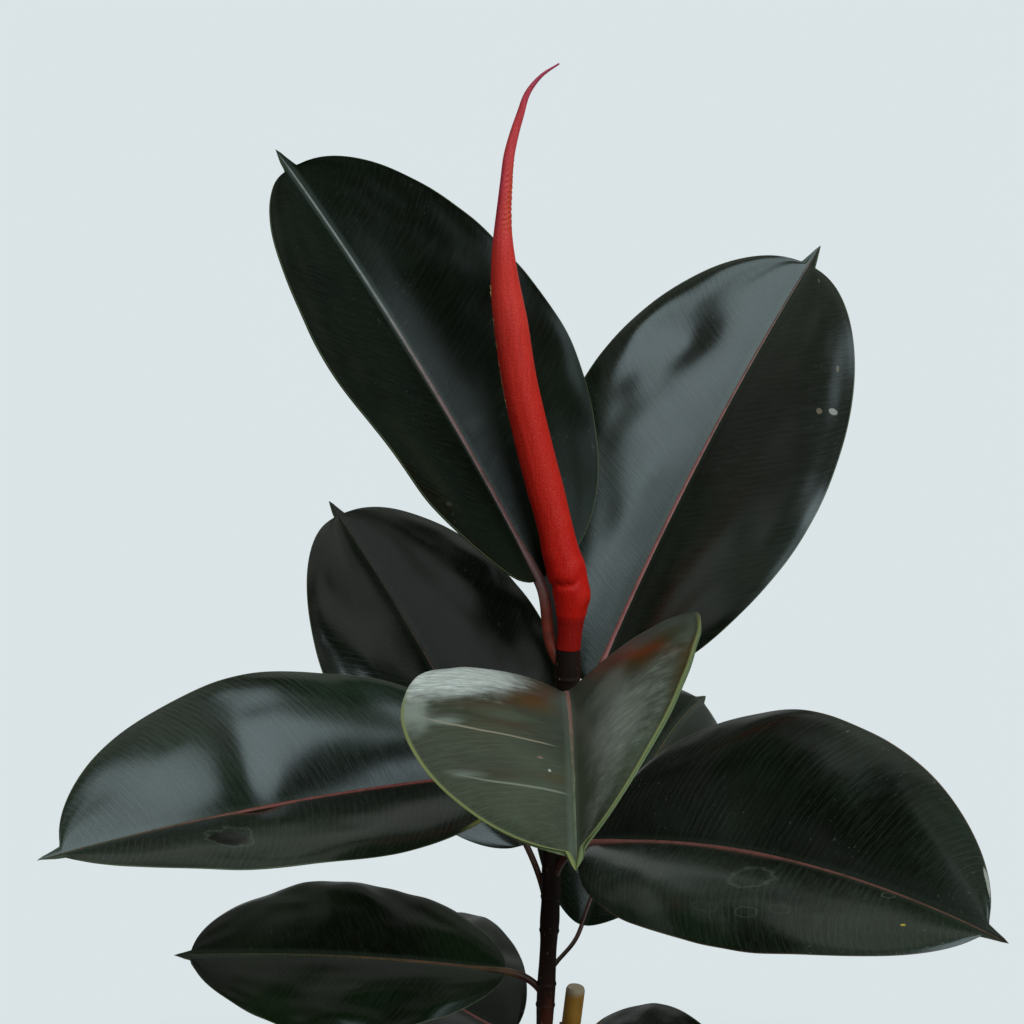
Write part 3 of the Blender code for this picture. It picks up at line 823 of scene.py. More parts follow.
LOOKS = {
    "leaf_upper_left": DARK._replace(rib_root=(0.27, 0.12, 0.11), rib_tip=(0.19, 0.19, 0.17),
                                     border=(0.07, 0.085, 0.07), stalk=(0.26, 0.040, 0.020),
                                     gloss=0.20, coat=0.0, roughness=0.33, vein_amount=0.20),
    "leaf_front": OLIVE,
    "leaf_upper_right": DARK._replace(rib_root=(0.31, 0.095, 0.085), rib_tip=(0.075, 0.055, 0.035),
                                      rib_fade=1.1),
    "leaf_left": GREENER._replace(rib_root=(0.33, 0.070, 0.062), rib_fade=0.9),
    "leaf_right": GREENER._replace(rib_root=(0.26, 0.085, 0.068), rib_tip=(0.10, 0.055, 0.035),
                                   rib_fade=1.05, dust=0.7, margin=(0.10, 0.055, 0.035)),
    "leaf_back_left": DARK._replace(rib_root=(0.13, 0.065, 0.050), rib_tip=(0.075, 0.06, 0.045),
                                    stalk=(0.12, 0.026, 0.008)),
    "leaf_low_left": DARK._replace(rib_root=(0.14, 0.065, 0.03), rib_tip=(0.05, 0.055, 0.02),
                                   green=(0.007, 0.016, 0.004), gloss=0.25, coat=0.0),
    "leaf_back_right": DARK._replace(rib_root=(0.070, 0.020, 0.012), stalk=(0.035, 0.008, 0.004),
                                     gloss=0.28, coat=0.0),
    "leaf_low_back": DARK._replace(gloss=0.22, coat=0.0),
}
MARKS = {
    "leaf_upper_right": [
        Mark(0.85, 0.673, 0.040, 0.007, PALE, 0.8, ragged=1.0),
        Mark(0.74, 0.662, 0.025, 0.006, SCAB, 0.8, ragged=1.0),
        Mark(0.50, 0.924, 0.035, 0.005, SCAB, 0.6, ragged=1.0),
        Mark(0.82, 0.760, 0.018, 0.008, SCAB, 0.7, ragged=1.0),
        Mark(-0.36, 0.603, 0.060, 0.018, (0.012, 0.016, 0.012), 0.7, 0.6),
        Mark(-0.36, 0.553, 0.035, 0.010, (0.012, 0.016, 0.012), 0.6, 0.6),
    ],
    "leaf_upper_left": [
        # painted sheen: a soft grey brushed patch beside the midrib
        Mark(0.15, 0.330, 0.12, 0.024, (0.06, 0.07, 0.06), 0.5, 0.9, 1.4, brushed=True),
        Mark(-0.78, 0.209, 0.05, 0.006, SCAB, 0.25, 0.6, 1.2, brushed=True),
        Mark(-0.70, 0.300, 0.20, 0.16, (0.022, 0.022, 0.008), 0.5, 0.9, 0.8, brushed=True),
    ],
    "leaf_left": [
        Mark(-0.51, 0.668, 0.20, 0.050, (0.10, 0.115, 0.09), 0.8, ragged=1.1, ring=True),
        Mark(-0.53, 0.676, 0.14, 0.034, BLACK, 1.0, 0.15, 1.0),
        # painted sheen: a soft lighter brushed patch towards the tip
        Mark(-0.45, 0.80, 0.50, 0.10, (0.045, 0.05, 0.03), 0.25, 0.9, brushed=True),
        Mark(-0.98, 0.12, 0.05, 0.10, (0.24, 0.23, 0.05), 0.8, 0.5),
    ],
    "leaf_right": [
        Mark(-0.93, 0.912, 0.060, 0.020, PALE, 1.0, ragged=0.8),
        Mark(0.451, 0.829, 0.024, 0.005, (0.50, 0.36, 0.02), 1.0, ragged=0.2),
        Mark(0.309, 0.494, 0.15, 0.055, (0.17, 0.18, 0.15), 0.70, ragged=0.9, ring=True),
        Mark(0.70, 0.470, 0.05, 0.035, (0.11, 0.12, 0.10), 0.35, ragged=0.7, ring=True),
        Mark(0.66, 0.555, 0.06, 0.028, (0.15, 0.16, 0.13), 0.55, ragged=0.8, ring=True),
        Mark(0.58, 0.615, 0.05, 0.025, (0.10, 0.11, 0.09), 0.4, ragged=0.6, ring=True),
        Mark(0.06, 0.75, 0.05, 0.015, PALE, 0.4, ragged=0.9, ring=True),
        # painted sheen: four soft lighter brushed patches on both lobes, one beside the rib at the
        # base
        Mark(-0.72, 0.58, 0.32, 0.20, (0.060, 0.065, 0.058), 0.40, 0.9, 0.8, brushed=True),
        Mark(-0.40, 0.85, 0.40, 0.12, (0.060, 0.065, 0.058), 0.25, 0.9, 0.8, brushed=True),
        Mark(0.45, 0.45, 0.55, 0.50, (0.060, 0.075, 0.060), 0.32, 0.9, 0.6, brushed=True),
        Mark(0.40, 0.14, 0.45, 0.12, (0.12, 0.14, 0.13), 0.35, 0.9, 0.6, brushed=True),
    ],
    "leaf_front": [
        # painted highlight and painted sheen: pale patches, some broken into streaks, where the blade
        # would catch the light
        Mark(0.80, 0.30, 0.62, 0.22, PAINTED_HIGHLIGHT, 1.0, 0.55, 0.5, brushed=True),
        Mark(0.92, 0.53, 0.15, 0.12, PAINTED_SHEEN, 0.55, 0.9),
        Mark(0.74, 0.575, 0.18, 0.024, PAINTED_SHEEN, 0.45, 0.95),
        Mark(0.72, 0.740, 0.20, 0.024, PAINTED_SHEEN, 0.28, 0.95),
        Mark(-0.56, 0.70, 0.50, 0.22, PAINTED_SHEEN, 0.62, 0.9, 0.8, brushed=True),
        Mark(-0.32, 0.50, 0.28, 0.12, PAINTED_SHEEN, 0.35, 0.9, 0.8, brushed=True),
        Mark(-0.45, 0.88, 0.35, 0.09, PAINTED_SHEEN, 0.35, 0.9, 0.8, brushed=True),
        Mark(0.20, 0.40, 0.27, 0.085, BRONZE, 0.90, 0.9, 0.7),
        # painted shade: a darker band along the first dent
        Mark(0.58, 0.49, 0.36, 0.040, (0.045, 0.038, 0.016), 0.80, 0.9),
        Mark(-0.62, 0.50, 0.36, 0.11, BRONZE, 0.95, 0.9, 0.7),
        Mark(-0.95, 0.66, 0.10, 0.14, BRONZE, 0.70, 0.9),
        Mark(0.10, 0.73, 0.18, 0.030, BRONZE, 0.6, 0.9),
        # painted shade: a darker band along the second dent
        Mark(0.50, 0.715, 0.40, 0.040, (0.035, 0.036, 0.020), 0.55, 0.9),
        Mark(0.00, 0.99, 1.20, 0.030, (0.30, 0.31, 0.10), 0.9, 0.8),
        Mark(0.146, 0.707, 0.012, 0.006, (0.62, 0.60, 0.50), 0.9, 0.6, 0.9),
        Mark(0.190, 0.668, 0.026, 0.006, (0.33, 0.20, 0.15), 0.7, 0.6, 0.9),
    ],
}
CREASES = {
    "leaf_front": [
        Crease(0.606, 0.085, 0.06, 1.00, 0.0050, (0.34, 0.29, 0.21)),
        Crease(0.776, 0.080, 0.00, 0.90, 0.0055, (0.26, 0.27, 0.21), 0.7),
    ],
}


class Surface(NamedTuple):
    """How one blade departs from its even shape.

    A dent is its (across, share of the length, 0) and its (width, length, depth).
    """
    ripple: float = 0.0012
    uneven: float = 0.010
    dent: tuple = ((0.4, 0.35, 0.0), (0.30, 0.10, 0.0010))
    second: tuple = ((-0.5, 0.65, 0.0), (0.30, 0.10, 0.0010))


SURFACES = {
    "leaf_upper_right": Surface(dent=((-0.56, 0.70, 0.0), (0.26, 0.070, 0.0050)),
                                second=((0.55, 0.45, 0.0), (0.30, 0.12, 0.0012))),
    "leaf_left": Surface(uneven=0.005, dent=((0.24, 0.545, 0.0), (0.34, 0.045, 0.0030)),
                         second=((-0.53, 0.675, 0.0), (0.15, 0.035, 0.0012))),
    "leaf_right": Surface(uneven=0.006, dent=((-0.50, 0.655, 0.0), (0.20, 0.060, 0.0030)),
                          second=((-0.30, 0.40, 0.0), (0.30, 0.080, 0.0016))),
    "leaf_front": Surface(ripple=0.0006, uneven=0.006,
                          dent=((0.55, 0.53, 0.0), (0.40, 0.030, 0.0016)),
                          second=((0.50, 0.72, 0.0), (0.40, 0.028, 0.0014))),
    "leaf_upper_left": Surface(dent=((0.22, 0.52, 0.0), (0.22, 0.12, 0.0024)),
                               second=((0.75, 0.72, 0.0), (0.25, 0.12, 0.0016))),
}
RIB_RADII = {"leaf_upper_left": 0.0018, "leaf_upper_right": 0.0017, "leaf_front": 0.0022,
             "leaf_left": 0.0015, "leaf_right": 0.0017, "leaf_back_left": 0.0014}
STALK_RADII = {"leaf_back_right": 0.0012, "leaf_upper_left": 0.0030, "leaf_back_left": 0.0017}
DOMES = {"leaf_upper_left": -0.14}
PLAIN_RIB = 0.0013
PLAIN_STALK = 0.0020


def make_leaves():
    tree = leaf_tree()
    for number, leaf in enumerate(LEAVES):
        look = LOOKS.get(leaf.name, DARK)
        surface = SURFACES.get(leaf.name, Surface())
        stem = stem_at(leaf.node)
        heading = math.radians(leaf.side)
        out = Vector((math.cos(heading) * leaf.reach, math.sin(heading) * leaf.reach, leaf.climb))
        fleshy = leaf.name == "leaf_front"
        skin = leaf_skin(leaf.name, look, MARKS.get(leaf.name, []), CREASES.get(leaf.name, []))
        bead, bead_width = FLESHY_MARGIN if fleshy else THIN_MARGIN
        values = {
            **{figure.capitalize(): float(getattr(leaf, figure)) for figure in POSTURE_FIGURES},
            "Stem": stem, "Root": stem + out, "Dome": DOMES.get(leaf.name, DOME),
            "Thickness": BLADE_THICKNESS, "Margin Bead": bead, "Bead Width": bead_width,
            "Margin Lip": MARGIN_LIP, "Vein Lean": FRONT_VEIN_LEAN if fleshy else VEIN_LEAN,
            "Ripple": surface.ripple, "Ripple Count": RIPPLE_COUNT,
            "Ripple Phase": PHASE_STEP * number, "Unevenness": surface.uneven,
            "Dent Place": surface.dent[0], "Dent Size": surface.dent[1],
            "Second Dent Place": surface.second[0], "Second Dent Size": surface.second[1],
            "Seed": SEED_STEP * number, "Stalk Radius": STALK_RADII.get(leaf.name, PLAIN_STALK),
            "Rib Radius": RIB_RADII.get(leaf.name, PLAIN_RIB),
            "Columns": FLESHY_COLUMNS if fleshy else THIN_COLUMNS, "Rows": BLADE_ROWS,
            "Rib Stations": RIB_STATIONS, "Blade Skin": skin,
            "Rib Skin": rib_skin(leaf.name, look),
        }
        piece = grow(tree, leaf.name + "_blade", values)
        keep(piece, "olive_leaf" if fleshy else "dark_leaf", leaf.name)


# ---- stem and bud sheath ---------------------------------------------------------------------

BARE_SCARS = [0.186, 0.205, 0.226]      # scars whose leaves have been shed
SCAR_HEIGHTS = BARE_SCARS + [leaf.node for leaf in LEAVES]
SCAR_DROP = 0.004                       # from a leaf's node down to its scar
SCAR_RISE = 0.00045
SCAR_SPREAD = 0.0009
STEM_SIDES = 40


def scar_profile(height):
    """The ring that a shed sheath leaves round the stem at each leaf."""
    rise = 0.0
    for scar in SCAR_HEIGHTS:
        away = (height - scar + SCAR_DROP) / SCAR_SPREAD
        rise += SCAR_RISE * math.exp(-away * away)
    return rise


def bark_skin():
    paint = Paint("stem_bark_skin", Roughness=0.55, Specular_IOR_Level=0.25)
    place = paint.place()
    _, _, height = paint.split(place)
    stretched = paint.drawn_out(place, 0.16)
    streaks = paint.noise(stretched, 420.0, 4.0, 0.6)
    patches = paint.noise(stretched, 90.0, 3.0)
    young = paint.mix(paint.smooth(patches, 0.35, 0.65), (0.010, 0.0035, 0.0018),
                      (0.030, 0.007, 0.003))
    red = paint.smooth(patches, 0.54, 0.70) * paint.smooth(height, 0.60, 0.46)
    young = paint.mix(red, young, (0.085, 0.014, 0.004))
    old = paint.mix(paint.smooth(streaks, 0.35, 0.65), (0.055, 0.036, 0.022), (0.13, 0.10, 0.07))
    ageing = paint.smooth(height + (patches - 0.5) * 0.12, 0.36, 0.22)
    colour = paint.mix(ageing, young, old)
    colour = paint.mix(paint.smooth(streaks, 0.6, 0.8) * 0.35, colour, (0.10, 0.055, 0.035))
    paint.set("Base Color", colour)
    paint.bump(streaks + patches * 0.5, 0.0005, 0.6)
    return paint.material


def lenticel_skin():
    paint = Paint("lenticel_skin", Roughness=0.8)
    grain = paint.noise(paint.place(), 700.0, 2.0)
    paint.set("Base Color", paint.mix(grain, (0.10, 0.05, 0.03), (0.26, 0.17, 0.11)))
    return paint.material


def stem_tree():
    """A barked tube with raised breathing pores scattered on it."""
    tree = Tree("Barked Stem", {"Sides": "Int", "Bark Depth": "Float", "Pore Density": "Float",
                                "Pore Size": "Float", "Seed": "Int", "Bark": "Material",
                                "Pore Skin": "Material"})
    tube = tree.tube(tree["Geometry"], tree["Sides"])
    stretched = tree.position() * (1.0, 1.0, 0.2)
    rough = tree.noise(stretched, 260.0, 3.0) - 0.5
    tube = tree.move(tube, offset=tree.normal() * (rough * tree["Bark Depth"]))
    points = tree.points_on(tube, tree["Pore Density"], tree["Seed"])
    size = tree.random(0.5, 1.0, 7) * tree["Pore Size"]
    pores = tree.copies(points, tree.ball(2), points.also("Rotation"),
                        tree.combine(size * 0.6, size, size * 0.35))
    pores = tree.store(pores, "pore", True, "BOOLEAN", "FACE")
    tree.finish_marked(tree.join_all(tube, pores), "pore", tree["Bark"], tree["Pore Skin"])
    return tree


def make_stem():
    rows = STEM_ROWS.copy()
    for row in rows:
        row[3] += scar_profile(row[2])
    carrier = route_curve("stem_route", rows)
    values = {"Sides": STEM_SIDES, "Bark Depth": 0.0005, "Pore Density": 9000.0, "Pore Size": 0.00055,
              "Seed": 4, "Bark": bark_skin(), "Pore Skin": lenticel_skin()}
    keep(grow(stem_tree(), "stem_detail", values, carrier), "stem_bark", "stem")


SHEATH_KNEE = 0.6455            # heights of the bend's crease, and of the fold below it
SHEATH_FOLD = 0.6262
SHEATH_NECK = (0.816, 0.828, 0.848, 0.861)      # heights between which the wrinkles come and go
DRY_SEAM = (0.722, 0.735, 0.796, 0.803)         # and the dry crumbs along the seam
COARSE_CRUMBS = 0.792                           # height of the largest crumbs
SEAM_HEADING = 193.0
SHEATH_SIDES = 72


def sheath_skin():
    paint = Paint("red_sheath_skin", Roughness=0.46, Specular_IOR_Level=0.28,
                  Subsurface_Weight=0.12, Subsurface_Scale=0.002)
    paint.set("Subsurface Radius", (1.0, 0.2, 0.1))
    round_x, _, along = paint.split(paint.attribute("ring"))
    place = paint.place()
    _, _, height = paint.split(place)
    fibres = paint.noise(paint.drawn_out(place, 0.06), 900.0, 3.0)
    grain = paint.noise(place, 1300.0, 2.0, 0.6)
    blotch = paint.noise(place, 60.0, 3.0)
    low = paint.mix(paint.smooth(height, SHEATH_FOLD - 0.003, SHEATH_FOLD + 0.0015),
                    (0.34, 0.004, 0.001), (0.66, 0.007, 0.0015))
    middle = paint.mix(paint.smooth(height, SHEATH_KNEE, 0.71), low, (0.70, 0.020, 0.010))
    upper = paint.mix(paint.smooth(height, 0.72, 0.80), middle, (0.86, 0.046, 0.032))
    upper = paint.mix(paint.smooth(height, 0.80, 0.85), upper, (0.94, 0.090, 0.100))
    colour = paint.mix(paint.smooth(along, 0.88, 0.985), upper, (0.60, 0.07, 0.14))
    colour = paint.mix(paint.smooth(fibres, 0.45, 0.75) * 0.30, colour, (0.38, 0.006, 0.003))
    colour = paint.mix(paint.smooth(blotch, 0.5, 0.75) * 0.25, colour, (0.80, 0.050, 0.030))
    colour = paint.mix(paint.smooth(grain, 0.62, 0.75) * 0.25, colour, (0.85, 0.16, 0.12))
    neck = paint.smooth(height, SHEATH_NECK[0], SHEATH_NECK[1])
    neck = neck * paint.smooth(height, SHEATH_NECK[3], SHEATH_NECK[2])
    warm = neck * paint.smooth(round_x, -0.3, 0.4) * paint.smooth(fibres, 0.3, 0.6)
    colour = paint.mix(warm * 0.6, colour, (0.72, 0.085, 0.010))
    cool = neck * paint.smooth(round_x, -0.3, -0.9)
    colour = paint.mix(cool * 0.5, colour, (0.62, 0.035, 0.12))
    dry = paint.attribute("dry", "Fac")
    colour = paint.mix(dry * 0.8, colour, (0.42, 0.27, 0.10))
    paint.set("Base Color", colour)
    paint.bump(fibres * 0.8 + grain * 1.1 + blotch * 0.4, 0.00045, 0.75)
    return paint.material


def crumb_skin():
    paint = Paint("sheath_crumb_skin", Roughness=0.8)
    paint.set("Base Color", paint.mix(paint.noise(paint.place(), 1600.0, 2.0),
                                      (0.30, 0.19, 0.06), (0.66, 0.52, 0.24)))
    return paint.material


def hump(tree, value, middle, spread):
    """A rounded bump of height 1 round a middle value."""
    away = (value - middle) / spread
    return tree.math("EXPONENT", away * away * -1.0)


def sheath_tree():
    """A wrapped sheath: overlapping seam with dry crumbs, bent knee, wrinkled neck."""
    tree = Tree("Bud Sheath", {"Sides": "Int", "Seam Step": "Float", "Seam Turn": "Float",
                               "Knee Height": "Float", "Knee Tilt": "Float", "Groove Depth": "Float",
                               "Knee Swell": "Float", "Fold Height": "Float", "Fold Step": "Float",
                               "Neck Start": "Float", "Neck End": "Float", "Wrinkle Depth": "Float",
                               "Wrinkle Spacing": "Float", "Flute Depth": "Float",
                               "Crumb Density": "Float", "Crumb Size": "Float", "Seed": "Int",
                               "Skin": "Material", "Crumb Skin": "Material"})
    rail = tree.store(tree["Geometry"], "along", tree.factor(), "FLOAT")
    rail = tree.store(rail, "centre", tree.position())
    tube = tree.tube(rail, tree["Sides"])
    along = tree.named("along", "FLOAT")
    girth = tree.named("girth", "FLOAT")
    away_x, away_y, _ = tree.split(tree.position() - tree.named("centre"))
    angle = tree.math("ARCTAN2", away_y, away_x)
    tube = tree.store(tube, "ring", tree.combine(tree.cosine(angle), tree.sine(angle), along))
    round_x, round_y, along = tree.split(tree.named("ring"))
    _, _, height = tree.split(tree.position())
    past_seam = tree.math("FRACT", angle / math.tau - tree["Seam Turn"] + 2.0)
    thick = tree.smooth(girth, 0.001, 0.006)
    step = (0.5 - past_seam) * tree["Seam Step"] * thick
    wander = tree.noise(tree.combine(round_x * 1.5, round_y * 1.5, height * 45.0), 1.0, 3.0)
    swing = tree.sine((height / tree["Wrinkle Spacing"] + wander * 3.0) * math.tau)
    zone = tree.smooth(height, tree["Neck Start"], tree["Neck Start"] + 0.012)
    zone = zone * tree.smooth(height, tree["Neck End"], tree["Neck End"] - 0.012)
    broken = tree.smooth(tree.noise(tree.position(), 320.0, 2.0), 0.36, 0.56)
    wrinkles = swing * zone * tree.smooth(round_x, -0.5, 0.2) * broken * tree["Wrinkle Depth"]
    flutes = tree.noise(tree.combine(round_x * 2.2, round_y * 2.2, along * 5.0), 1.3, 2.0)
    flutes = (flutes - 0.5) * tree["Flute Depth"] * thick
    crease = tree["Knee Height"] + round_x * tree["Knee Tilt"] + (wander - 0.5) * 0.010
    front = tree.smooth(round_y, 0.3, -0.4) * tree.smooth(round_x, 0.75, 0.1)
    groove = hump(tree, height, crease, 0.0019) * tree["Groove Depth"] * front
    swell = hump(tree, height, crease + 0.0055, 0.0035) * tree["Knee Swell"]
    corner = hump(tree, height, crease - 0.0115, 0.005) * tree.smooth(round_x, 0.1, 0.9) * 0.0010
    fold = tree.smooth(height, tree["Fold Height"] + 0.0005, tree["Fold Height"] - 0.0005)
    shape = step + wrinkles + flutes + swell + corner - groove - fold * tree["Fold Step"]
    tube = tree.store(tube, "shape", shape, "FLOAT")
    at_seam = tree.math("MINIMUM", past_seam, 1.0 - past_seam)
    patchy = tree.smooth(tree.noise(tree.position(), 180.0, 3.0), 0.44, 0.58)
    stretch = tree.smooth(height, DRY_SEAM[0], DRY_SEAM[1])
    stretch = stretch * tree.smooth(height, DRY_SEAM[3], DRY_SEAM[2])
    tube = tree.store(tube, "dry", tree.smooth(at_seam, 0.024, 0.006) * patchy * stretch, "FLOAT")
    tube = tree.move(tube, offset=tree.normal() * tree.named("shape", "FLOAT"))
    density = tree.named("dry", "FLOAT") * tree["Crumb Density"]
    points = tree.points_on(tube, density, tree["Seed"])
    _, _, height = tree.split(tree.position())
    coarse = hump(tree, height, COARSE_CRUMBS, 0.004) * 1.3 + 1.0
    size = tree.random(0.3, 1.0, 7) * tree["Crumb Size"] * coarse
    crumbs = tree.copies(points, tree.ball(2), points.also("Rotation"),
                         tree.combine(size * tree.random(0.6, 1.0, 8), size, size * 0.6))
    crumbs = tree.store(crumbs, "crumb", True, "BOOLEAN", "FACE")
    tree.finish_marked(tree.join_all(tube, crumbs), "crumb", tree["Skin"], tree["Crumb Skin"])
    return tree


def make_sheath():
    carrier = route_curve("sheath_route", SHEATH_ROWS)
    values = {"Sides": SHEATH_SIDES, "Seam Step": 0.0009, "Seam Turn": SEAM_HEADING / 360.0,
              "Knee Height": SHEATH_KNEE, "Knee Tilt": 0.003, "Groove Depth": 0.0009,
              "Knee Swell": 0.0005, "Fold Height": SHEATH_FOLD, "Fold Step": 0.00030,
              "Neck Start": SHEATH_NECK[0], "Neck End": SHEATH_NECK[3], "Wrinkle Depth": 0.00030,
              "Wrinkle Spacing": 0.0026, "Flute Depth": 0.0007, "Crumb Density": 2.5e6,
              "Crumb Size": 0.00045, "Seed": 3, "Skin": sheath_skin(), "Crumb Skin": crumb_skin()}
    keep(grow(sheath_tree(), "sheath_detail", values, carrier), "red_sheath", "bud_sheath")


# ---- cane and tie ----------------------------------------------------------------------------

def cane_skin():
    paint = Paint("cane_skin", Roughness=0.5, Specular_IOR_Level=0.3)
    place = paint.place()
    _, _, height = paint.split(place)
    fibres = paint.noise(paint.drawn_out(place, 0.03), 1100.0, 3.0, 0.6)
    patches = paint.noise(place, 45.0, 4.0)
    colour = paint.mix(paint.smooth(patches, 0.35, 0.7), (0.36, 0.15, 0.016), (0.54, 0.28, 0.050))
    colour = paint.mix(paint.smooth(fibres, 0.5, 0.75) * 0.5, colour, (0.14, 0.07, 0.02))
    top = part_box("stake")[1].z
    pale = paint.smooth(height + (patches - 0.5) * 0.006, top - 0.006, top - 0.001)
    colour = paint.mix(pale, colour, (0.46, 0.34, 0.23))
    soiled = paint.smooth(height + (patches - 0.5) * 0.03, 0.195, 0.165)
    colour = paint.mix(soiled * 0.7, colour, (0.07, 0.045, 0.03))
    paint.set("Base Color", colour)
    paint.bump(fibres, 0.0003, 0.5)
    return paint.material


CANE_STEPS = 480
CANE_SIDES = 40
CANE_TRIM = 0.0002              # the cane's bare stretches are this much thinner than the frame's
CANE_JOINT_SPACING = 0.085
CANE_JOINT_SHIFT = 0.020        # puts the first joint well below the cut end
CANE_JOINT_RISE = 0.0007
CANE_GROOVE = 0.0005
CANE_WEAR = 0.0007              # how far the cut end's edge is worn off


def tube_tree():
    """A plain swept tube with fine length-wise ribs."""
    tree = Tree("Ribbed Cane", {"Sides": "Int", "Rib Depth": "Float", "Skin": "Material"})
    tube = tree.tube(tree["Geometry"], tree["Sides"])
    rough = tree.noise(tree.position() * (1.0, 1.0, 0.05), 700.0, 2.0) - 0.5
    tube = tree.move(tube, offset=tree.normal() * (rough * tree["Rib Depth"]))
    tree.finish(tube, (tree["Skin"], True))
    return tree


def bell(value, middle, spread):
    """A rounded bump of height 1 round a middle value, for plain numbers."""
    return math.exp(-((value - middle) / spread) ** 2)


def make_cane():
    """The cane: two lips and a groove at each joint, and a slightly worn cut end."""
    rings = frame_rings("stake")
    foot = Vector(rings[0][:3])
    top = Vector(rings[-1][:3])
    radius = rings[0][3]
    length = (top - foot).length
    rows = []
    for step in range(CANE_STEPS + 1):
        share = step / CANE_STEPS
        from_top = (1.0 - share) * length
        past = (from_top + CANE_JOINT_SHIFT) % CANE_JOINT_SPACING
        lips = bell(past, 0.0040, 0.0016) + 0.6 * bell(past, 0.0085, 0.0018)
        groove = CANE_GROOVE * bell(past, 0.0062, 0.0007)
        worn = CANE_WEAR * bell(from_top, 0.0, 0.0009)
        girth = radius - CANE_TRIM + CANE_JOINT_RISE * lips * 0.6 - groove - worn
        rows.append((*foot.lerp(top, share), girth))
    carrier = route_curve("cane_route", rows)
    values = {"Sides": CANE_SIDES, "Rib Depth": 0.0002, "Skin": cane_skin()}
    keep(grow(tube_tree(), "cane_detail", values, carrier), "bamboo_cane", "stake")


STRAND_RADIUS = 0.00065
STRAND_SIDES = 10
STRAND_SQUEEZE = 1.15           # the two strands press into one another
TWIST_PITCH = 0.004
TWINE_REACH = 2.2               # the whole twine's radius over a strand's
TIE_TURNS = 3
TIE_STEPS = 12                  # steps in each half turn
TIE_ROUTE_STEPS = 500


def twine_skin():
    paint = Paint("twine_skin", Roughness=0.9, Sheen_Weight=0.3)
    place = paint.place()
    fibre = paint.noise(place, 1800.0, 4.0, 0.7)
    colour = paint.mix(paint.smooth(fibre, 0.3, 0.7), (0.16, 0.10, 0.045), (0.50, 0.37, 0.20))
    paint.set("Base Color", colour)
    paint.bump(fibre, 0.0004, 0.8)
    return paint.material


def twine_tree():
    """Twisted two-ply twine along a curve."""
    tree = Tree("Twine", {"Strand Radius": "Float", "Twist Pitch": "Float", "Skin": "Material"})
    length = tree.factor().also("Length")
    given = {"Curve": tree["Geometry"], "Tilt": length * math.tau / tree["Twist Pitch"]}
    rail = tree.make("GeometryNodeSetCurveTilt", given)
    radius = tree["Strand Radius"]
    girth = radius * STRAND_SQUEEZE
    strands = []
    for way in (-1.0, 1.0):
        given = {"Geometry": tree.circle(STRAND_SIDES),
                 "Translation": tree.combine(radius * way, 0.0, 0.0),
                 "Scale": tree.combine(girth, girth, girth)}
        ring = tree.make("GeometryNodeTransform", given)
        strands.append(tree.sweep(rail, ring, 1.0))
    tree.finish(tree.join_all(*strands), (tree["Skin"], True))
    return tree


def make_tie():
    """Three turns of twine round the stem and the cane, as one strand that climbs a little."""
    low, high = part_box("tie")
    height = (low.z + high.z) / 2
    stem = stem_at(height)
    rings = frame_rings("stake")
    foot = Vector(rings[0][:3])
    top = Vector(rings[-1][:3])
    cane = foot.lerp(top, (height - foot.z) / (top.z - foot.z))
    away = cane - stem
    heading = math.atan2(away.y, away.x)
    stem_girth = float(np.interp(height, STEM_ROWS[:, 2], STEM_ROWS[:, 3]))
    reach = STRAND_RADIUS * TWINE_REACH
    posts = [(stem, stem_girth + reach, heading + math.pi / 2),
             (cane, rings[0][3] + reach, heading - math.pi / 2)]
    points = []
    for centre, girth, start in posts * TIE_TURNS:
        for step in range(TIE_STEPS + 1):
            turn = start + math.pi * step / TIE_STEPS
            x = centre.x + math.cos(turn) * girth
            y = centre.y + math.sin(turn) * girth
            points.append([x, y, 0.0, 1.0])
    for index, point in enumerate(points):
        above = (index / (len(points) - 1) - 0.5) * TIE_TURNS * STRAND_RADIUS * (TWINE_REACH * 2)
        point[2] = height + above
    carrier = route_curve("tie_route", smooth_route(np.array(points), TIE_ROUTE_STEPS))
    values = {"Strand Radius": STRAND_RADIUS, "Twist Pitch": TWIST_PITCH, "Skin": twine_skin()}
    tie = grow(twine_tree(), "tie_detail", values, carrier)
    keep(tie, "soft_twine", "tie")


# ---- pot and soil ----------------------------------------------------------------------------

POT_WALL = 0.007
POT_FLOOR = 0.010
RIM_BAND = 0.032
RIM_PROUD = 0.006
POT_BASE_RADIUS = 0.074
POT_NECK_RADIUS = 0.104
DRAIN_HOLES = 5
DRAIN_RADIUS = 0.006
DRAIN_CIRCLE = 0.040
DRAIN_SIDES = 32
POT_SIDES = 160
POT_ROUNDING = 0.0018           # radius of the pot's rounded corners
RIM_TAPER = 0.8                 # how much of the rim's proudness is left at its top
SHARP_ANGLE = 50.0              # edges sharper than this stay crisp


def clay_skin():
    paint = Paint("clay_skin", Roughness=0.86)
    place = paint.place()
    _, _, height = paint.split(place)
    grit = paint.noise(place, 900.0, 3.0, 0.6)
    clouds = paint.noise(place, 26.0, 4.0)
    rings = paint.noise(paint.combine(0.0, 0.0, height), 520.0, 2.0)
    colour = paint.mix(paint.smooth(clouds, 0.3, 0.7), (0.46, 0.165, 0.080), (0.60, 0.26, 0.145))
    colour = paint.mix(paint.smooth(grit, 0.55, 0.75) * 0.35, colour, (0.34, 0.11, 0.055))
    bloom_band = paint.smooth(height, 0.150, 0.100) * paint.smooth(height, 0.02, 0.07)
    bloom = paint.smooth(paint.noise(place, 22.0, 8.0, 0.72), 0.44, 0.68) * bloom_band
    colour = paint.mix(bloom * 0.30, colour, (0.72, 0.60, 0.50))
    damp = paint.smooth(height + (clouds - 0.5) * 0.05, 0.050, 0.0)
    colour = paint.mix(damp * 0.45, colour, (0.24, 0.085, 0.045))
    paint.set("Base Color", colour)
    paint.bump(grit * 0.5 + rings * 0.6 + clouds * 0.3, 0.0006, 0.5)
    return paint.material


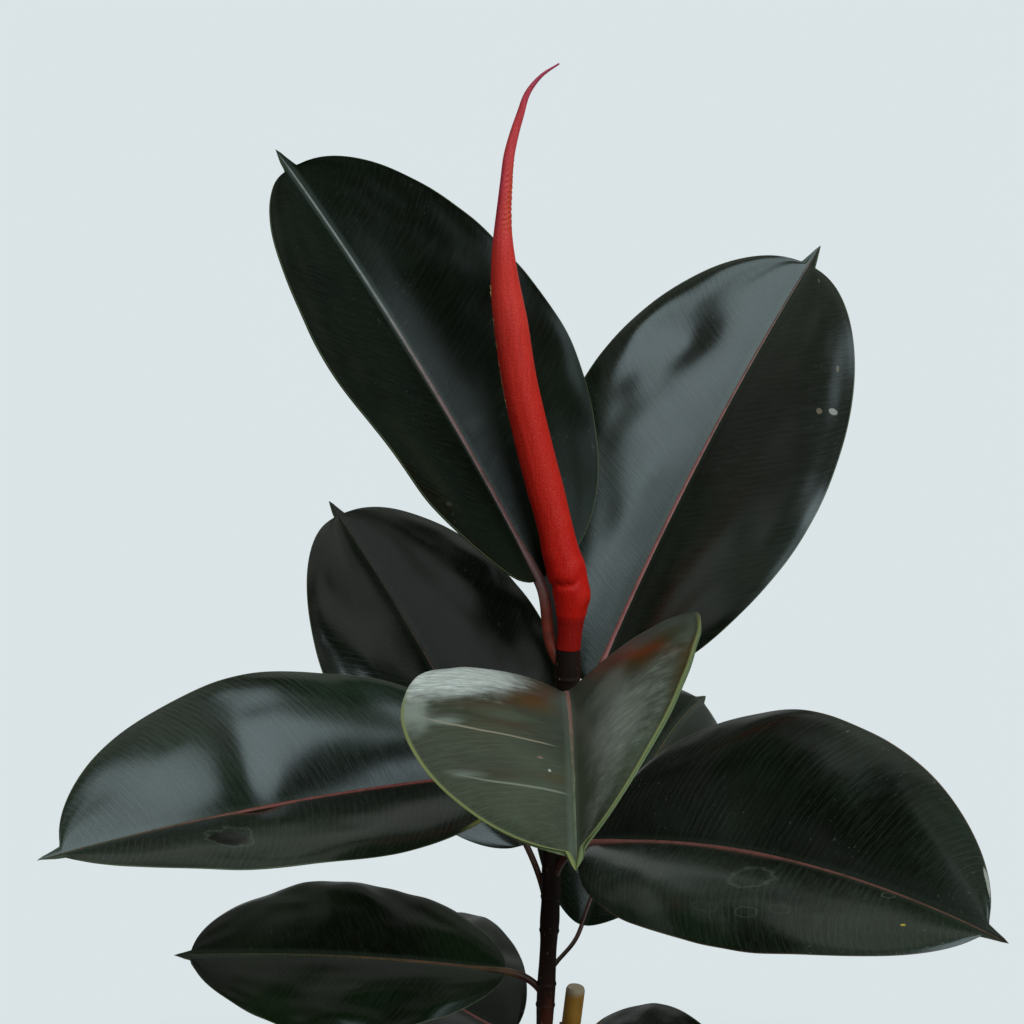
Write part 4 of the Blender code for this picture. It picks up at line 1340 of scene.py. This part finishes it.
def rounded(corners, radius, steps=6):
    """The corner points with each inner corner replaced by a curve of about that radius."""
    result = [corners[0]]
    for before, corner, after in zip(corners, corners[1:], corners[2:]):
        here = Vector(corner)
        way_in = (here - Vector(before)).normalized()
        way_out = (Vector(after) - here).normalized()
        back = radius * math.tan(way_in.angle(way_out) / 2)
        for step in range(steps + 1):
            t = step / steps
            start = here - way_in * back
            end = here + way_out * back
            result.append(tuple(start * (1 - t) ** 2 + here * (2 * t * (1 - t)) + end * t ** 2))
    result.append(corners[-1])
    return result


def turned(name, profile, material, sides):
    """A turned solid from (radius, height) points that run down the outer side."""
    mesh = bpy.data.meshes.new(name)
    joins = [(index, index + 1) for index in range(len(profile) - 1)]
    mesh.from_pydata([(radius, 0.0, height) for radius, height in profile], joins, [])
    mesh.materials.append(material)
    thing = new_object(name, mesh)
    screw = thing.modifiers.new("Turn", "SCREW")
    screw.steps = sides
    screw.render_steps = sides
    screw.use_merge_vertices = True
    screw.merge_threshold = WELD_DISTANCE
    screw.use_smooth_shade = True
    return thing


def make_pot():
    """The hollow pot with its rim band and drain holes."""
    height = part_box("pot")[1].z
    neck = height - RIM_BAND
    slope = (POT_NECK_RADIUS - POT_BASE_RADIUS) / neck
    mouth = POT_BASE_RADIUS + slope * height - POT_WALL
    floor_radius = POT_BASE_RADIUS + slope * POT_FLOOR - POT_WALL
    corners = [
        (0.0, POT_FLOOR),
        (floor_radius, POT_FLOOR),
        (mouth, height),
        (mouth + POT_WALL + RIM_PROUD * RIM_TAPER, height),
        (POT_NECK_RADIUS + RIM_PROUD, neck),
        (POT_NECK_RADIUS, neck - RIM_PROUD * 0.4),
        (POT_BASE_RADIUS, 0.0),
        (0.0, 0.0),
    ]
    source = turned("pot_source", rounded(corners, POT_ROUNDING), clay_skin(), POT_SIDES)
    cutters = []
    for index in range(DRAIN_HOLES):
        turn = math.tau * (index + 0.5) / DRAIN_HOLES
        mesh = bpy.data.meshes.new("drain_cutter")
        shape = bmesh.new()
        bmesh.ops.create_cone(shape, cap_ends=True, segments=DRAIN_SIDES, radius1=DRAIN_RADIUS,
                              radius2=DRAIN_RADIUS, depth=POT_FLOOR * 3)
        shape.to_mesh(mesh)
        shape.free()
        cutter = new_object("drain_cutter", mesh)
        cutter.location = (DRAIN_CIRCLE * math.cos(turn), DRAIN_CIRCLE * math.sin(turn), POT_FLOOR / 2)
        cut = source.modifiers.new("Drain", "BOOLEAN")
        cut.operation = "DIFFERENCE"
        cut.object = cutter
        cutters.append(cutter)
    pot = bake(source, "pot_detail")
    for cutter in cutters:
        bpy.data.objects.remove(cutter, do_unlink=True)
    pot.data.set_sharp_from_angle(angle=math.radians(SHARP_ANGLE))
    keep(pot, "fired_clay", "pot")


def soil_skin():
    paint = Paint("soil_skin", Roughness=0.95)
    place = paint.place()
    clumps = paint.noise(place, 220.0, 5.0, 0.6)
    wet = paint.noise(place, 30.0, 3.0)
    colour = paint.mix(clumps, (0.010, 0.006, 0.004), (0.060, 0.038, 0.024))
    colour = paint.mix(paint.smooth(wet, 0.5, 0.7) * 0.4, colour, (0.020, 0.012, 0.008))
    paint.set("Base Color", colour)
    paint.bump(clumps, 0.0015, 0.8)
    return paint.material


def grain_skin(name, dark, light, scale):
    paint = Paint(name, Roughness=0.9)
    grain = paint.noise(paint.place(), scale, 3.0, 0.6)
    paint.set("Base Color", paint.mix(paint.smooth(grain, 0.3, 0.7), dark, light))
    paint.bump(grain, 0.0005, 0.6)
    return paint.material


SCATTER_INPUTS = {"Top Height": "Float", "Stir": "Float", "Crumb Density": "Float",
                  "Crumb Size": "Float", "Pearl Density": "Float", "Pearl Size": "Float",
                  "Chip Density": "Float", "Chip Size": "Float", "Seed": "Int",
                  "Soil": "Material", "Pearl Skin": "Material", "Chip Skin": "Material"}


def soil_tree():
    """Stirs the top of a bed of soil, and scatters crumbs, pearls of perlite and bark chips."""
    tree = Tree("Potting Soil", SCATTER_INPUTS)
    _, _, height = tree.split(tree.position())
    on_top = tree.smooth(height, tree["Top Height"] - 0.003, tree["Top Height"])
    rough = tree.noise(tree.position(), 90.0, 4.0) - 0.5
    bed = tree.move(tree["Geometry"], offset=tree.combine(0.0, 0.0, rough * on_top * tree["Stir"]))
    flat = tree.math("GREATER_THAN", height, tree["Top Height"] - 0.001)
    parts = [bed]
    kinds = [                   # label, seed offset, smallest, largest, fineness, mark
        ("Crumb", 1, (0.55, 0.5, 0.35), (1.0, 1.0, 0.8), 2, ""),
        ("Pearl", 2, (0.6, 0.6, 0.5), (1.0, 1.0, 0.9), 2, "pearl"),
        ("Chip", 3, (0.8, 0.35, 0.15), (1.6, 0.7, 0.3), 1, "chip"),
    ]
    for label, offset, thin, thick, fineness, mark in kinds:
        seed = tree["Seed"] + float(offset)
        points = tree.points_on(bed, tree[label + " Density"], seed, flat)
        spin = tree.random((0.0, 0.0, 0.0), (0.5, 0.5, math.tau), offset)
        size = tree.random(thin, thick, offset + 10) * tree[label + " Size"]
        size = size * tree.random(0.45, 1.0, offset + 20)
        grains = tree.copies(points, tree.ball(fineness), spin, size)
        knobs = tree.noise(tree.position(), 420.0, 2.0) - 0.5
        grains = tree.move(grains, offset=tree.normal() * (knobs * tree[label + " Size"] * 0.9))
        if mark:
            grains = tree.store(grains, mark, True, "BOOLEAN", "FACE")
        parts.append(grains)
    pearl = tree.named("pearl", "BOOLEAN")
    chip = tree.named("chip", "BOOLEAN")
    special = tree.make("FunctionNodeBooleanMath", {0: pearl, 1: chip}, operation="OR")
    tree.finish(tree.join_all(*parts), (tree["Soil"], tree.opposite(special)),
                (tree["Pearl Skin"], pearl), (tree["Chip Skin"], chip))
    return tree


SOIL_FALL = 0.004               # how much lower the soil lies at the wall than in the middle
SOIL_SHOULDER = (0.0008, 0.002) # how far in and down its rounded edge reaches
SOIL_RINGS = 60
SOIL_SIDES = 120


def make_soil():
    """The bed of soil inside the pot, a little higher in the middle."""
    low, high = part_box("soil")
    radius = high.x
    crown = high.z
    edge = crown - SOIL_FALL
    pot_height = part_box("pot")[1].z
    narrowing = (edge - low.z) * (POT_NECK_RADIUS - POT_BASE_RADIUS) / (pot_height - RIM_BAND)
    top = [(0.0, crown)]
    for step in range(1, SOIL_RINGS + 1):
        share = step / SOIL_RINGS
        fall = (edge - crown) * share ** 1.5
        top.append(((radius - SOIL_SHOULDER[0]) * share, crown + fall))
    wall = [(radius, edge - SOIL_SHOULDER[1]), (radius - narrowing, low.z), (0.0, low.z)]
    carrier = turned("soil_source", top + wall, soil_skin(), SOIL_SIDES)
    pearls = grain_skin("perlite_skin", (0.55, 0.53, 0.48), (0.82, 0.81, 0.77), 600.0)
    chips = grain_skin("bark_chip_skin", (0.045, 0.022, 0.012), (0.15, 0.08, 0.045), 300.0)
    values = {"Top Height": edge, "Stir": 0.004, "Crumb Density": 42000.0, "Crumb Size": 0.0019,
              "Pearl Density": 2600.0, "Pearl Size": 0.0019, "Chip Density": 2000.0,
              "Chip Size": 0.0042, "Seed": 11, "Soil": soil_skin(), "Pearl Skin": pearls,
              "Chip Skin": chips}
    keep(grow(soil_tree(), "soil_detail", values, carrier), "potting_soil", "soil")


# ---- floor, light and camera -----------------------------------------------------------------

FLOOR_RADIUS = 0.95
FLOOR_SIDES = 96
FLOOR_GAP = 0.0005              # the floor lies this far below the pot's foot
FLOOR_FADE = (0.98, 0.30)       # the floor is gone, and is full, at these shares of its radius
BACKDROP = (0.705, 0.775, 0.795)


def make_floor():
    """A pale round floor that melts into the backdrop."""
    mesh = bpy.data.meshes.new("floor")
    shape = bmesh.new()
    bmesh.ops.create_circle(shape, cap_ends=True, segments=FLOOR_SIDES, radius=FLOOR_RADIUS)
    shape.to_mesh(mesh)
    shape.free()
    paint = Paint("floor_paint", Roughness=0.8)
    paint.set("Base Color", (0.92, 0.90, 0.86))
    away = paint.vector_value("LENGTH", paint.place())
    gone, full = FLOOR_FADE
    paint.set("Alpha", paint.smooth(away, FLOOR_RADIUS * gone, FLOOR_RADIUS * full))
    mesh.materials.append(paint.material)
    floor = new_object("floor", mesh)
    floor.location.z = -FLOOR_GAP


class Glow(NamedTuple):
    """A soft-edged bright window in the dome of light; headings and heights in degrees."""
    left: float
    right: float
    low: float
    high: float
    soft: float
    strength: float
    colour: tuple


GLOWS = [
    Glow(-84, -22, 17, 64, 10, 3.5, (0.78, 0.98, 1.05)),
    Glow(-5, 165, 42, 92, 24, 0.30, (0.95, 1.0, 0.93)),
    Glow(-165, -122, 12, 45, 20, 0.50, (0.90, 0.98, 1.0)),
    Glow(60, 130, -15, 32, 30, 0.35, (0.92, 1.0, 0.97)),
]
GROUND_STRENGTH = 0.045
DOME_STRENGTH = 0.21
DOME_COLOUR = (0.96, 1.0, 0.90)
DOME_RISE = (8.0, 42.0)         # heights between which the light rises from ground to dome


def make_world():
    """A pale backdrop for the camera; for the light, a dim dome with soft bright windows."""
    world = bpy.data.worlds.new("studio")
    world.use_nodes = True
    bpy.context.scene.world = world
    maker = Maker(world.node_tree)
    world.node_tree.nodes.clear()
    x, y, up = maker.split(maker.make("ShaderNodeTexCoord", output="Generated"))
    heading = maker.math("DEGREES", maker.math("ARCTAN2", y, x))
    height = maker.math("DEGREES", maker.math("ARCSINE", up))
    dome = maker.smooth(height, *DOME_RISE) * (DOME_STRENGTH - GROUND_STRENGTH) + GROUND_STRENGTH
    light = maker.make("ShaderNodeBackground", {"Color": DOME_COLOUR, "Strength": dome})
    for glow in GLOWS:
        half = glow.soft / 2
        inside = maker.smooth(heading, glow.left - half, glow.left + half)
        inside = inside * maker.smooth(heading, glow.right + half, glow.right - half)
        inside = inside * maker.smooth(height, glow.low - half, glow.low + half)
        inside = inside * maker.smooth(height, glow.high + half, glow.high - half)
        given = {"Color": glow.colour, "Strength": inside * glow.strength}
        window = maker.make("ShaderNodeBackground", given)
        light = maker.make("ShaderNodeAddShader", {0: light, 1: window})
    plain = maker.make("ShaderNodeBackground", {"Color": BACKDROP, "Strength": 1.0})
    seen = maker.make("ShaderNodeLightPath", output="Is Camera Ray")
    shown = maker.make("ShaderNodeMixShader", {0: seen, 1: light, 2: plain})
    end = world.node_tree.nodes.new("ShaderNodeOutputWorld")
    world.node_tree.links.new(shown.socket, end.inputs["Surface"])


AIM = Vector((-0.009, 0.0, 0.680))
CAMERA_DISTANCE = 1.25
CAMERA_PITCH = 15.0
CAMERA_LENS = 87.9
CAMERA_SENSOR = 36.0


def make_camera():
    data = bpy.data.cameras.new("camera")
    data.sensor_width = CAMERA_SENSOR
    data.lens = CAMERA_LENS
    camera = new_object("camera", data)
    pitch = math.radians(CAMERA_PITCH)
    back = Vector((0.0, -math.cos(pitch), math.sin(pitch)))
    camera.location = AIM + back * CAMERA_DISTANCE
    camera.rotation_euler = (-back).to_track_quat("-Z", "Y").to_euler()
    bpy.context.scene.camera = camera


def make_studio():
    make_camera()
    make_world()
    make_floor()
    bpy.context.scene.view_settings.view_transform = "Standard"


make_studio()
make_pot()
make_soil()
make_stem()
make_sheath()
make_cane()
make_tie()
make_leaves()
